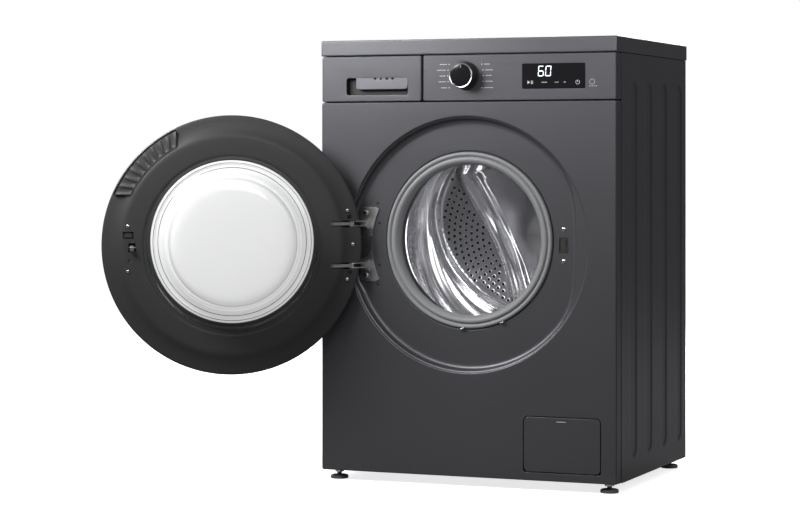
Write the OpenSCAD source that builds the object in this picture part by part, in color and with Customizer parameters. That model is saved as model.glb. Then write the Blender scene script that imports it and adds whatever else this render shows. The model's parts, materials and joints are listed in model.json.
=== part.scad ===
// Front load washing machine, slim 600 mm cabinet, direct drive.
// X runs across the front, the front faces -Y and +Z is up. The origin is on the
// floor, under the centre of the cabinet. The door is drawn open, as it rests.

/* [Cabinet] */
// Width of the cabinet
body_w = 600; // [590:5:620]
// Depth of the cabinet, without the top plate's overhang
body_d = 460; // [456:2:480]
// Height from the floor to the top plate
body_h = 850; // [846:1:860]
// Height of the cabinet's lower edge above the floor
ground_gap = 19; // [17:1:22]
// Height of the top plate's edge
top_plate_h = 30; // [26:1:32]
// How far the top plate stands past the back
top_overhang = 9; // [8:1:14]
// Thickness of the cabinet's sheet steel
sheet = 1.2; // [1:0.1:1.4]
// Height of the control panel
panel_h = 89; // [86:1:92]

/* [Door] */
// How far the door stands open
door_open = 152; // [0:1:152]
// Outer radius of the door
door_r = 248; // [246:0.5:249]
// Height of the door's centre
door_z = 457; // [455:1:459]
// Outer radius of the glass bowl's flange
bowl_r = 155; // [150:1:156]
// Depth of the glass bowl behind its flange
bowl_depth = 92; // [70:1:96]

/* [Front recess] */
// Radius of the recess that the door closes into
recess_r = 243; // [242:0.5:244]
// Depth of the recess
recess_depth = 18; // [16:1:19]
// Depth of the finger step at the recess's free side
step_depth = 4; // [3:0.5:6]
// Distance from the centre to the straight wall at the free side
recess_flat_x = 219; // [217:1:222]

/* [Drum] */
// Height of the drum's axis
drum_z = 467; // [465:1:469]
// Inner radius of the drum
drum_r = 230; // [220:1:231]
// Radius of the drum's mouth
mouth_r = 158; // [155:1:165]
// Radius of the gasket's inner lip
gasket_lip_r = 143; // [140:1:145]
// Radius of the opening that the gasket is clamped in
gasket_r = 168; // [166:1:169]

/* [Feet] */
// Distance between the feet across the cabinet
foot_span_x = 550; // [540:2:556]
// Distance between the feet from front to back
foot_span_y = 396; // [380:2:400]
// Radius of a foot's pad
foot_r = 17.5; // [16:0.5:18]

/* [Hidden] */
$fn = 64;
eps = 0.01;
fit = 0.3;

front_y = -body_d / 2;
back_y = body_d / 2;
side_x = body_w / 2;
plate_z = body_h - top_plate_h;
panel_z = plate_z - panel_h;
wrap_front_y = front_y + 27;
seam = 0.8;

// Recess
recess_z = door_z + 2;
deep_r = recess_r - 8;
relief_h = 190;
swing_h = 84;
swing_r = 22.5;
step_y = front_y + step_depth;
floor_y = front_y + recess_depth;

// Door, drawn closed and then swung about the hinge
hinge_x = -229;
hinge_y = front_y - 16;
pin_z = [door_z - 40.5, door_z + 40];
door_back_y = front_y - 3;
door_front_y = front_y - 44;
frame_face_y = front_y + 9;
glass_t = 4;
glass_y = frame_face_y - 2;
bowl_face_r = 118;
bowl_z = door_z + 7;
pocket_r = 215;
pocket_x0 = 107;
pocket_z0 = door_z + 97;
latch_x = 190;
lock_z = door_z + 2.5;
hook_z = door_z - 4;
hook_pivot_y = frame_face_y - 7;

// Drawer
split_x = -88;
drawer_w = split_x + side_x - 3.2;
drawer_x0 = -side_x + 1.6;
drawer_z0 = panel_z + 1;
drawer_h = panel_h - 2;
drawer_front_t = 14;
grip_x = [-246, -118];
grip_z = [panel_z + 13, panel_z + 46];
box_x = [-282, -106];
box_z = [panel_z + 14, panel_z + 74];
box_y = [front_y + 12, 20];

// Knob and display
knob_x = 0;
knob_z = panel_z + 48;
knob_r = 24.5;
knob_depth = 28;
display_x = [114, 238];
display_z = [panel_z + 22, panel_z + 69];

// Filter flap
flap_x = [117, 267];
flap_z = [36, 138.5];
flap_r = 9;
flap_gap = 1.5;
flap_low_r = 3.5;
flap_pocket_t = 13;
filter_x = 196;
filter_z = 92;

// Drum, tub and drive along the drum's axis
drum_front_y = front_y + 85;
drum_back_y = front_y + 380;
drum_t = 0.8;
tub_r = drum_r + 17;
tub_t = 3;
tub_front_y = drum_front_y - 17;
tub_back_y = drum_back_y + 17;
tub_split_y = -10;
neck_r = gasket_r - 8;
shaft_r = 12.5;
bearing_or = 31;
bearing_w = 17;
hub_r = 40;
hub_y = [tub_back_y - 5.5, tub_back_y + 31];
stator_y = tub_back_y + tub_t + 3;
rotor_r = 128;
shaft_y = [drum_back_y - 10.7, hub_y[1] + 16];

// Suspension
spring_x = 262;
spring_y = 75;
spring_z = [652, 792];
spring_r = 13;
damper_x = 165;
damper_tube_r = 13;
damper_rod_r = 6;
damper_z = [ground_gap + 26, 190];
damper_top_z = drum_z - 205;

foot_y = foot_span_y / 2;
foot_x = foot_span_x / 2;
stud_r = 5;

// A cylinder along +Y between two depths, centred at x and z
module along_y(r, y0, y1, x = 0, z = 0, r2 = -1) {
    translate([x, y0, z])
        rotate([-90, 0, 0])
            cylinder(r1 = r, r2 = r2 < 0 ? r : r2, h = y1 - y0);
}

// A ring along +Y between two depths
module ring_y(ro, ri, y0, y1, x = 0, z = 0) {
    difference() {
        along_y(ro, y0, y1, x, z);
        along_y(ri, y0 - 1, y1 + 1, x, z);
    }
}

// A profile of [radius, depth] points turned about the axis along Y at height z
module turned(points, z, fn = 96) {
    translate([0, 0, z])
        rotate([-90, 0, 0])
            rotate_extrude($fn = fn) polygon(points);
}

// A plate between two depths whose outline is drawn in x and z
module plate_y(y0, y1) {
    translate([0, y1, 0])
        rotate([90, 0, 0])
            linear_extrude(height = y1 - y0) children();
}

// A rectangle in x and z with round corners
module round_rect(x, z, r) {
    translate([x[0] + r, z[0]]) square([x[1] - x[0] - 2 * r, z[1] - z[0]]);
    translate([x[0], z[0] + r]) square([x[1] - x[0], z[1] - z[0] - 2 * r]);
    for (cx = [x[0] + r, x[1] - r], cz = [z[0] + r, z[1] - r])
        translate([cx, cz]) circle(r = r, $fn = 32);
}

// Outline of the filter flap, grown on every side
module flap_outline(grow = 0) {
    round_rect([flap_x[0] - grow, flap_x[1] + grow], [flap_z[0] - grow, flap_z[1] + grow], flap_r + grow);
}

// Opening for the flap, with tighter lower corners that the open flap clears
module flap_opening(grow = 0) {
    flap_outline(grow);
    round_rect([flap_x[0] - grow, flap_x[1] + grow], [flap_z[0] - grow, flap_z[1] / 2], flap_low_r + grow);
}

// A cylinder along +X between two stations
module along_x(x0, x1, y, z, r) {
    translate([x0, y, z]) rotate([0, 90, 0]) cylinder(r = r, h = x1 - x0);
}

// A box between two corners
module block(x, y, z) {
    translate([x[0], y[0], z[0]]) cube([x[1] - x[0], y[1] - y[0], z[1] - z[0]]);
}

// A pan head screw with a cross recess, its head towards -Y
module screw_y(x, y, z, head_r = 4, length = 10) {
    translate([x, y, z]) {
        difference() {
            along_y(head_r, -2.2, 0, r2 = head_r);
            for (a = [0, 90])
                rotate([0, a, 0]) translate([-head_r * 0.55, -3, -0.5]) cube([head_r * 1.1, 2, 1]);
        }
        along_y(head_r * 0.45, -eps, length);
    }
}

// Puts a shape that is drawn with the door closed where the open door is
module swung() {
    translate([hinge_x, hinge_y, 0])
        rotate([0, 0, -door_open])
            translate([-hinge_x, -hinge_y, 0]) children();
}

// Outline of the recess's deep part, with its straight free side and the
// relief that the door's rim swings through beside the hinge
module deep_outline(grow = 0) {
    intersection() {
        translate([0, recess_z]) circle(r = deep_r + grow, $fn = 128);
        translate([-side_x, 0]) square([side_x + recess_flat_x + grow, body_h]);
    }
    intersection() {
        translate([0, recess_z]) circle(r = recess_r - sheet + grow, $fn = 128);
        translate([-side_x, door_z - relief_h / 2 - grow]) square([100, relief_h + 2 * grow]);
    }
}

// Pressed grooves of one side panel, as a stadium in depth and height
groove_w = 40;
groove_y = [-128, -28, 73, 178];
groove_z = [60, 767];
groove_t = 2.2;
module groove_shape(grow, x0, x1) {
    r = groove_w / 2 + grow;
    for (gy = groove_y) {
        translate([x0, gy, groove_z[0] + groove_w / 2])
            rotate([0, 90, 0]) cylinder(r = r, h = x1 - x0);
        translate([x0, gy, groove_z[1] - groove_w / 2])
            rotate([0, 90, 0]) cylinder(r = r, h = x1 - x0);
        block([x0, x1], [gy - r, gy + r],
            [groove_z[0] + groove_w / 2, groove_z[1] - groove_w / 2]);
    }
}

module wrap_side() {
    difference() {
        union() {
            block([side_x - sheet, side_x], [wrap_front_y, back_y], [ground_gap, plate_z - seam]);
            groove_shape(sheet, side_x - sheet - groove_t, side_x - sheet + eps);
        }
        groove_shape(0, side_x - groove_t, side_x + 1);
    }
    // Front return and rear return
    block([side_x - 11, side_x - sheet + eps], [wrap_front_y, wrap_front_y + sheet],
        [ground_gap + pan_h + 1, plate_z - seam]);
    block([side_x - 32, side_x - sheet + eps], [back_y - sheet, back_y],
        [ground_gap, plate_z - seam]);
    // Welded hanger for the suspension spring
    block([spring_x - 12, side_x - sheet + eps], [spring_y - 12, spring_y + 12],
        [spring_z[1] + 4, spring_z[1] + 7]);
    block([spring_x - 3, spring_x + 3], [spring_y - 2, spring_y + 2],
        [spring_z[1], spring_z[1] + 4 + eps]);
}

module cabinet_wrap() {
    color("#3a3a3d") {
        wrap_side();
        mirror([1, 0, 0]) wrap_side();
        // Braces under the top plate
        for (y = [[wrap_front_y + sheet - eps, wrap_front_y + 20], [back_y - 34, back_y - 5]])
            block([-side_x + sheet - eps, side_x - sheet + eps], y,
                [plate_z - 2 - sheet, plate_z - 2]);
    }
}

transit_x = [-190, 190];
transit_z = [330, 600];
transit_r = 13;
valve_x = -215;
valve_z = box_z[1] - 14;
outlet_x = 225;
outlet_z = 92;
gland_x = 225;
gland_z = 770;
cover_x = [-168, 168];
cover_z = [drum_z - 175, drum_z + 175];

module rear_panel() {
    color("#55555a")
        plate_y(back_y - sheet * 2 - 0.2, back_y - sheet - 0.2)
            difference() {
                translate([-side_x + sheet + 0.3, ground_gap + 1])
                    square([body_w - 2 * sheet - 0.6, plate_z - ground_gap - 2]);
                round_rect([cover_x[0] + 14, cover_x[1] - 14], [cover_z[0] + 14, cover_z[1] - 14], 60);
                for (x = transit_x, z = transit_z) translate([x, z]) circle(r = transit_r);
                translate([valve_x, valve_z]) circle(r = 19);
                translate([outlet_x, outlet_z]) circle(r = 15);
                translate([gland_x, gland_z]) circle(r = 11);
                for (p = rear_screw_xz) translate(p) circle(r = 2.4, $fn = 24);
            }
}

cover_bulge = 7;
rear_screw_xz = concat(
    [for (x = [cover_x[0] + 7, cover_x[1] - 7], z = [cover_z[0] + 40, drum_z, cover_z[1] - 40]) [x, z]],
    [for (x = [-70, 70], z = [cover_z[0] + 7, cover_z[1] - 7]) [x, z]]
);
module rear_cover() {
    color("#4b4b50")
        difference() {
            union() {
                plate_y(back_y - sheet - 0.2, back_y - 0.2)
                    difference() {
                        round_rect(cover_x, cover_z, 70);
                        for (p = rear_screw_xz) translate(p) circle(r = 2.4, $fn = 24);
                    }
                along_y(150, back_y - 0.3, back_y + cover_bulge, 0, drum_z);
            }
            along_y(150 - sheet, back_y - 5, back_y + cover_bulge - sheet, 0, drum_z);
        }
}

module rear_screws() {
    color("silver") {
        for (p = rear_screw_xz)
            translate([p[0], back_y - 0.2, p[1]]) rotate([0, 0, 180]) screw_y(0, 0, 0, 4.2, 9);
        for (x = [-250, 250])
            translate([x, back_y + top_overhang, plate_z + 12])
                rotate([0, 0, 180]) screw_y(0, 0, 0, 4.5, 9);
    }
}

pan_h = 34;
pan_t = 2.5;
pan_front_y = front_y + 20;
module base_pan() {
    color("#2d2d30")
        difference() {
            union() {
                difference() {
                    block([-side_x + 3, side_x - 3], [pan_front_y, back_y - 5],
                        [ground_gap, ground_gap + pan_h]);
                    block([-side_x + 3 + pan_t, side_x - 3 - pan_t],
                        [pan_front_y + pan_t, back_y - 5 - pan_t],
                        [ground_gap + pan_t, ground_gap + pan_h + 1]);
                }
                for (x = [-foot_x, foot_x], y = [-foot_y, foot_y])
                    translate([x, y, ground_gap]) cylinder(r = 12, h = 26);
                for (x = [-damper_x, damper_x])
                    block([x - 16, x + 16], [-14, 14], [ground_gap + pan_t - eps, damper_z[0] - 4]);
            }
            for (x = [-foot_x, foot_x], y = [-foot_y, foot_y])
                translate([x, y, ground_gap - 1]) cylinder(r = stud_r + fit, h = 40);
            block([-90, 90], [-120, 120], [ground_gap - 1, ground_gap + pan_t + 1]);
        }
}

flange_y = wrap_front_y - 0.6;
module front_panel() {
    color("#4a4a4f") {
        // Face with the recess and the flap's opening cut out, and the finger
        // step round it, both cleared where the door's rim swings past
        difference() {
            union() {
                plate_y(front_y, front_y + sheet)
                    difference() {
                        translate([-side_x + seam, ground_gap])
                            square([body_w - 2 * seam, panel_z - ground_gap - seam]);
                        translate([0, recess_z]) circle(r = recess_r, $fn = 128);
                        flap_opening(flap_gap);
                    }
                ring_y(recess_r + sheet, recess_r, front_y, step_y + sheet, 0, recess_z, $fn = 128);
            }
            translate([hinge_x, hinge_y, door_z - swing_h / 2]) cylinder(r = swing_r, h = swing_h);
        }
        plate_y(step_y, step_y + sheet)
            difference() {
                translate([0, recess_z]) circle(r = recess_r + eps, $fn = 128);
                deep_outline();
            }
        // Deep wall and floor
        plate_y(step_y + eps, floor_y + sheet)
            difference() {
                deep_outline(sheet);
                deep_outline();
            }
        plate_y(floor_y, floor_y + sheet)
            difference() {
                deep_outline(eps);
                translate([0, drum_z]) circle(r = gasket_r + 1.5, $fn = 128);
                round_rect([latch_x - 9.5, latch_x + 9.5], [lock_z - 15, lock_z + 15], 3);
                for (z = lock_screw_z) translate([latch_x, z]) circle(r = 2.6, $fn = 24);
                for (z = bracket_screw_z) translate([bracket_screw_x, z]) circle(r = 2.6, $fn = 24);
            }
        // Rolled edge that the gasket grips
        ring_y(gasket_r + 1.5 + sheet, gasket_r + 1.5, floor_y + eps, floor_y + 9, 0, drum_z,
            $fn = 128);
        // Pocket round the flap, with the ears that carry its pins
        plate_y(front_y + eps, front_y + flap_pocket_t)
            difference() {
                flap_opening(flap_gap + sheet);
                flap_opening(flap_gap);
            }
        plate_y(front_y + flap_pocket_t - sheet, front_y + flap_pocket_t)
            difference() {
                flap_opening(flap_gap + eps);
                translate([filter_x, filter_z]) circle(r = 36);
            }
        for (x = flap_barrel_x, s = [0, 1])
            difference() {
                block([x - 2.6 + s * 14.8, x - 0.2 + s * 14.8],
                    [flap_hinge_y - ear_r, front_y + flap_pocket_t - sheet + eps],
                    [flap_hinge_z - ear_r, flap_hinge_z + ear_r]);
                along_x(x - 4 + s * 14.8, x + 2 + s * 14.8, flap_hinge_y, flap_hinge_z, peg_r + 0.1);
            }
        // Returns round the edge
        for (s = [-1, 1])
            translate([s * (side_x - seam - sheet / 2), 0, 0])
                block([-sheet / 2, sheet / 2], [front_y + eps, flange_y],
                    [ground_gap, panel_z - seam]);
        block([-side_x + seam + eps, side_x - seam - eps], [front_y + eps, front_y + 14],
            [panel_z - seam - sheet, panel_z - seam]);
        block([-side_x + seam + eps, side_x - seam - eps], [front_y + eps, front_y + 14],
            [ground_gap, ground_gap + sheet]);
    }
}

top_wall = 8;
module top_plate() {
    color("#515156")
        difference() {
            block([-side_x, side_x], [front_y, back_y + top_overhang], [plate_z, body_h]);
            block([-side_x + top_wall, side_x - top_wall],
                [front_y + top_wall, back_y + top_overhang - top_wall],
                [plate_z - 1, body_h - 14]);
            for (x = [-250, 250]) along_y(2.4, back_y, back_y + 20, x, plate_z + 12);
        }
}

panel_t = 2.6;
module control_panel() {
    color("#505055") {
        difference() {
            union() {
                // Fascia right of the drawer
                block([split_x, side_x - seam], [front_y, front_y + panel_t],
                    [panel_z, plate_z - seam]);
                block([split_x, split_x + panel_t], [front_y + eps, front_y + 20],
                    [panel_z, plate_z - seam]);
                block([side_x - seam - panel_t, side_x - seam], [front_y + eps, flange_y],
                    [panel_z, plate_z - seam]);
                // Frame behind the drawer's front
                block([-side_x + seam, split_x + eps], [front_y + 16, front_y + 19],
                    [panel_z, plate_z - seam]);
                block([-side_x + seam, -side_x + seam + panel_t], [front_y + 16, flange_y],
                    [panel_z, plate_z - seam]);
                // Collar for the knob's shaft
                along_y(12, front_y + eps, front_y + 14, knob_x, knob_z);
            }
            block([box_x[0] - 3, box_x[1] + 3], [front_y, front_y + 30],
                [box_z[0] - 3, box_z[1] + 3]);
            along_y(6.3, front_y - 1, front_y + 20, knob_x, knob_z);
            along_y(knob_r + 3.5, front_y - 1, front_y + 1, knob_x, knob_z);
            block([display_x[0], display_x[1]], [front_y - 1, front_y + 1.6],
                [display_z[0], display_z[1]]);
            block([display_x[0] + 8, display_x[1] - 8], [front_y, front_y + 5],
                [display_z[0] + 8, display_z[1] - 8]);
        }
    }
}

module display_window() {
    color("black")
        block([display_x[0] + 0.2, display_x[1] - 0.2], [front_y - 0.3, front_y + 1.5],
            [display_z[0] + 0.2, display_z[1] - 0.2]);
}

module control_board() {
    color("darkgreen") {
        block([split_x + 12, 275], [front_y + 19, front_y + 20.6], [panel_z + 12, panel_z + 76]);
        for (x = [70, 150, 215])
            block([x, x + 26], [front_y + 20.5, front_y + 32], [panel_z + 20, panel_z + 44]);
        along_y(9, front_y + 15.2, front_y + 19.1, knob_x, knob_z);
    }
}

housing_t = 2.5;
module dispenser_housing() {
    color("lightgray")
        difference() {
            union() {
                block([box_x[0] - 2.8 - housing_t, box_x[1] + 2.8 + housing_t],
                    [front_y + 19.2, box_y[1] + 32],
                    [box_z[0] - 2.8 - housing_t, box_z[1] + 2.8 + housing_t]);
                along_y(11, box_y[1] + 30, box_y[1] + 50, valve_x, valve_z);
            }
            block([box_x[0] - 2.8, box_x[1] + 2.8], [front_y + 10, box_y[1] + 29],
                [box_z[0] - 2.8, box_z[1] + 2.8]);
            along_y(8, box_y[1] + 20, box_y[1] + 60, valve_x, valve_z);
        }
}

valve_thread_r = 13.2;
module water_valve() {
    color("white") {
        // Threaded inlet through the rear panel, with its strainer seat
        difference() {
            along_y(valve_thread_r, back_y - 14, back_y + 8, valve_x, valve_z);
            along_y(8, back_y - 8, back_y + 9, valve_x, valve_z);
        }
        along_y(22, back_y - 17, back_y - 2 * sheet - 0.4, valve_x, valve_z);
        block([valve_x - 16, valve_x + 16], [back_y - 52, back_y - 17 + eps],
            [valve_z - 18, valve_z + 18]);
        along_y(14, back_y - 86, back_y - 52 + eps, valve_x, valve_z);
    }
}

module fill_hose() {
    color("dimgray")
        ring_y(11.5, 8, box_y[1] + 50.2, back_y - 86.2, valve_x, valve_z);
}

module damper_tubes() {
    color("dimgray")
        for (x = [-damper_x, damper_x])
            difference() {
                union() {
                    translate([x, 0, damper_z[0]]) cylinder(r = damper_tube_r, h = damper_z[1] - damper_z[0]);
                    translate([x - 8, 0, damper_z[0] - 3.8]) cube([16, 12, 5]);
                }
                translate([x, 0, damper_z[0] + 4])
                    cylinder(r = damper_rod_r + fit, h = damper_z[1]);
            }
}

lock_depth = 26;
module door_lock() {
    color("#202022")
        difference() {
            block([latch_x - 14, latch_x + 14], [floor_y + sheet + 0.1, floor_y + sheet + lock_depth],
                [lock_z - 40, lock_z + 40]);
            block([latch_x - 9, latch_x + 9], [floor_y, floor_y + sheet + lock_depth - 4],
                [lock_z - 14.5, lock_z + 14.5]);
            for (z = lock_screw_z) along_y(1.9, floor_y, floor_y + 14, latch_x, z);
        }
}

lock_screw_z = [lock_z - 29.7, lock_z + 29.7];
bracket_x = [-224, -191];
bracket_t = 3;
bracket_h = 143;
bracket_z = [door_z - bracket_h / 2, door_z + bracket_h / 2];
bracket_screw_x = -211.5;
bracket_screw_z = [door_z - 60.5, door_z + 60.5];
module front_screws() {
    color("silver") {
        for (z = lock_screw_z) screw_y(latch_x, floor_y, z, 4, 10);
        for (z = bracket_screw_z)
            screw_y(bracket_screw_x, floor_y - bracket_t, z, 5, 11);
    }
}

lug_r = 5;
lug_w = 10.6;
lug_x = [-219, -206];
slot_r = 24;
knuckle_h = 20;
pin_r = 2.5;
arm_t = 6;
module hinge_bracket() {
    color("silver")
        difference() {
            union() {
                // Plate on the recess floor with a hollowed free edge
                plate_y(floor_y - bracket_t, floor_y)
                    difference() {
                        round_rect(bracket_x, bracket_z, 6);
                        translate([bracket_x[1] + 155, door_z]) circle(r = 163, $fn = 128);
                        for (z = bracket_screw_z) translate([bracket_screw_x, z]) circle(r = 2.6, $fn = 24);
                    }
                // Lugs that carry the pins, each on a stouter knuckle
                for (z = pin_z) {
                    hull() {
                        translate([hinge_x, hinge_y, z - lug_w / 2]) cylinder(r = lug_r, h = lug_w, $fn = 32);
                        block(lug_x, [floor_y - bracket_t, floor_y - eps], [z - lug_w / 2, z + lug_w / 2]);
                    }
                    block([lug_x[0] - 2, lug_x[1] + 2], [floor_y - 7, floor_y - eps],
                        [z - knuckle_h / 2, z + knuckle_h / 2]);
                }
            }
            for (z = pin_z) {
                translate([hinge_x, hinge_y, z - lug_w]) cylinder(r = pin_r, h = 2 * lug_w);
                // Slot for the door's arm
                translate([hinge_x, hinge_y, z - arm_t / 2 - fit]) cylinder(r = slot_r, h = arm_t + 2 * fit);
            }
        }
}

module hinge_pins() {
    color("silver")
        for (z = pin_z)
            translate([hinge_x, hinge_y, z - lug_w / 2 - 1]) {
                cylinder(r = pin_r, h = lug_w + 2);
                cylinder(r = pin_r + 1, h = 0.9);
            }
}

pump_y = [front_y + 56, front_y + 130];
module drain_pump() {
    color("#c8c8c8") {
        difference() {
            union() {
                along_y(34, front_y + 14, pump_y[0], filter_x, filter_z);
                along_y(44, pump_y[0] - eps, pump_y[1], filter_x, filter_z);
                along_y(30, pump_y[1] - eps, pump_y[1] + 44, filter_x, filter_z);
                along_x(filter_x - 60, filter_x - 20, hose_y, hose_z, 14);
                block([filter_x - 30, filter_x + 30], pump_y, [ground_gap + pan_t + 0.2, filter_z]);
            }
            along_y(30.6, front_y + 9, pump_y[1] - 6, filter_x, filter_z);
            along_x(filter_x - 61, filter_x - 10, hose_y, hose_z, 10);
        }
    }
}

module drain_outlet() {
    color("#c8c8c8")
        difference() {
            union() {
                along_y(19, back_y - 2 * sheet - 6, back_y - 2 * sheet - 0.4, outlet_x, outlet_z);
                along_y(9.5, back_y - 40, back_y + 8.5, outlet_x, outlet_z);
                along_y(10.8, back_y + 2, back_y + 4, outlet_x, outlet_z);
            }
            along_y(7, back_y - 41, back_y + 9, outlet_x, outlet_z);
        }
}

hose_x = 110;
hose_y = front_y + 110;
hose_z = filter_z + 6;
hose_r = 17;
spout_z = [228, 256];
module sump_hose() {
    color("#1c1c1e") {
        along_x(hose_x, filter_x - 60.2, hose_y, hose_z, hose_r);
        translate([hose_x, hose_y, hose_z]) {
            sphere(r = hose_r);
            cylinder(r = hose_r, h = spout_z[0] - 0.3 - hose_z);
        }
    }
}

module transit_caps() {
    color("#303033")
        for (x = transit_x, z = transit_z) {
            along_y(transit_r + 4, back_y - sheet - 0.1, back_y + 1.6, x, z);
            along_y(transit_r - 0.2, back_y - sheet * 2 - 6, back_y - sheet - 0.1 + eps, x, z);
        }
}

module cord_gland() {
    color("#18181a")
        difference() {
            union() {
                along_y(14, back_y - sheet - 0.1, back_y + 2, gland_x, gland_z);
                along_y(10.8, back_y - sheet * 2 - 9, back_y - sheet - 0.1 + eps, gland_x, gland_z);
                along_y(8, back_y + 2 - eps, back_y + 8.5, gland_x, gland_z);
            }
            along_y(4.2, back_y - 20, back_y + 9, gland_x, gland_z);
        }
}

module foot_lock_nuts() {
    color("silver")
        for (x = [-foot_x, foot_x], y = [-foot_y, foot_y])
            translate([x, y, ground_gap - 6.2])
                difference() {
                    cylinder(r = 9.2, h = 6, $fn = 6);
                    translate([0, 0, -1]) cylinder(r = stud_r + fit, h = 9);
                }
}

gasket_front_y = floor_y - 4;
lip_y = floor_y + 8;
sleeve_y = [tub_front_y - 19, tub_front_y + 4];
// Section of the gasket: front bead, lip, bellows and the sleeve on the tub's neck
module gasket() {
    color("#8c8c90")
        turned([
            [gasket_r, gasket_front_y + 2], [gasket_r - 2, gasket_front_y],
            [gasket_r - 9, gasket_front_y], [gasket_r - 11, gasket_front_y + 2],
            [gasket_r - 14, gasket_front_y + 1], [gasket_lip_r + 3, lip_y - 3],
            [gasket_lip_r, lip_y], [gasket_lip_r + 2, lip_y + 3],
            [gasket_lip_r + 9, lip_y + 1], [gasket_lip_r + 7, lip_y + 8],
            [neck_r - 4, lip_y + 17], [neck_r + 0.3, sleeve_y[0] - 4],
            [neck_r + 0.3, sleeve_y[1]], [neck_r + 3.3, sleeve_y[1]],
            [neck_r + 3.3, sleeve_y[0] - 5], [neck_r - 1, lip_y + 14],
            [gasket_lip_r + 11, lip_y + 6], [gasket_r - 4, lip_y - 1],
            [gasket_r - 1, floor_y + 5], [gasket_r, floor_y + 4]
        ], drum_z, 128);
}

module gasket_front_clamp() {
    color("silver") {
        turned([
            [gasket_r - 7.5, gasket_front_y - 0.1], [gasket_r - 7.5, gasket_front_y - 1.5],
            [gasket_r - 5.5, gasket_front_y - 1.5], [gasket_r - 5.5, gasket_front_y - 0.1]
        ], drum_z, 128);
        for (a = [4, -22])
            translate([0, 0, drum_z])
                rotate([0, a, 0])
                    block([-2.5, 2.5], [gasket_front_y - 3.4, gasket_front_y - 0.2],
                        [-gasket_r + 4, -gasket_r + 8]);
    }
}

module gasket_rear_clamp() {
    color("silver")
        ring_y(neck_r + 6.4, neck_r + 3.4, sleeve_y[0] + 7, sleeve_y[0] + 13, 0, drum_z, $fn = 128);
}

module suspension_springs() {
    color("silver")
        for (x = [-spring_x, spring_x])
            translate([x, spring_y, spring_z[0] + fit])
                cylinder(r = spring_r, h = spring_z[1] - spring_z[0] - 2 * fit);
}

// Door: inner frame, outer ring, outer window, bowl, arms, screws and latch
module handle_pocket(r, y0, y1, grow) {
    intersection() {
        difference() {
            along_y(door_r + 5, y0, y1, 0, door_z);
            along_y(r - grow, y0 - 1, y1 + 1, 0, door_z);
        }
        block([pocket_x0 - grow, side_x], [y0, y1], [pocket_z0 - grow, body_h]);
    }
}

module lug_notch(x0, x1, y0) {
    for (z = pin_z)
        block([x0, x1], [y0, floor_y], [z - lug_w / 2 - 1.2, z + lug_w / 2 + 1.2]);
}

module door_frame() {
    swung()
        color("#303031")
            difference() {
                union() {
                    turned([
                        [bowl_r - 25, frame_face_y - 3], [bowl_r - 25, frame_face_y],
                        [206, frame_face_y], [211, frame_face_y - 1], [216, front_y + 3],
                        [236, front_y - 2], [door_r - 3, door_back_y + 0.2],
                        [door_r, door_back_y - 2], [door_r, door_back_y - 3.5],
                        [door_r - 1.5, door_back_y - 4.5], [236, door_back_y - 3.5],
                        [214, front_y], [209, frame_face_y - 4], [bowl_r + 5, frame_face_y - 3]
                    ], door_z, 160);
                    // Collar round the bowl
                    along_y(bowl_r + 5, front_y - 10, frame_face_y - eps, 0, bowl_z, $fn = 128);
                    // Backing of the handle pocket
                    intersection() {
                        handle_pocket(pocket_r, frame_face_y - 20, frame_face_y - 1, 3);
                        along_y(224, frame_face_y - 21, frame_face_y, 0, door_z);
                    }
                    // Latch housing
                    block([latch_x - 13, latch_x + 13], [hook_pivot_y - 9, frame_face_y - 1],
                        [hook_z - 20, hook_z + 20]);
                }
                along_y(bowl_r + 1, front_y - 11, frame_face_y + 1, 0, bowl_z, $fn = 128);
                handle_pocket(pocket_r, frame_face_y - 17, frame_face_y + 9, 0);
                // Slot for the hook and its pin
                block([latch_x - 6.5, latch_x + 6.5], [hook_pivot_y - 7, frame_face_y + 5],
                    [hook_z - 8, hook_z + 8]);
                along_x(latch_x - 12, latch_x + 12, hook_pivot_y, hook_z, 2);
                for (p = door_screw_xyz)
                    along_y(1.8, p[1] - 12, p[1] + 3, p[0], p[2]);
                // Slots for the hinge arms, and the notches for the lugs
                for (z = pin_z)
                    block([hinge_x - 30, hinge_x + 40], [front_y - 34, frame_face_y + 5],
                        [z - 5, z + 5]);
                lug_notch(hinge_x - 30, hinge_x + 18, front_y - 30);
            }
}

module door_cover() {
    swung()
        color("#3c3c40")
            difference() {
                turned([
                    [door_r - 1.8, door_back_y - 5], [door_r, door_back_y - 4],
                    [door_r, door_back_y - 7], [door_r - 4, door_back_y - 12],
                    [236, front_y - 22], [222, front_y - 31], [205, front_y - 37.5],
                    [188, front_y - 41], [178, front_y - 41.5], [178, front_y - 38.5],
                    [187, front_y - 38], [204, front_y - 34.5], [220, front_y - 28.5],
                    [234, front_y - 19.5], [door_r - 6.5, door_back_y - 10]
                ], door_z, 160);
                lug_notch(hinge_x - 30, hinge_x + 8, front_y - 34);
            }
}

module door_window() {
    swung()
        color("#101012")
            turned([
                [0, door_front_y], [150, door_front_y + 1], [170, door_front_y + 2.2],
                [177.6, door_front_y + 4.6], [177.6, door_front_y + 8], [150, door_front_y + 5],
                [0, door_front_y + 4]
            ], door_z, 128);
}

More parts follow.
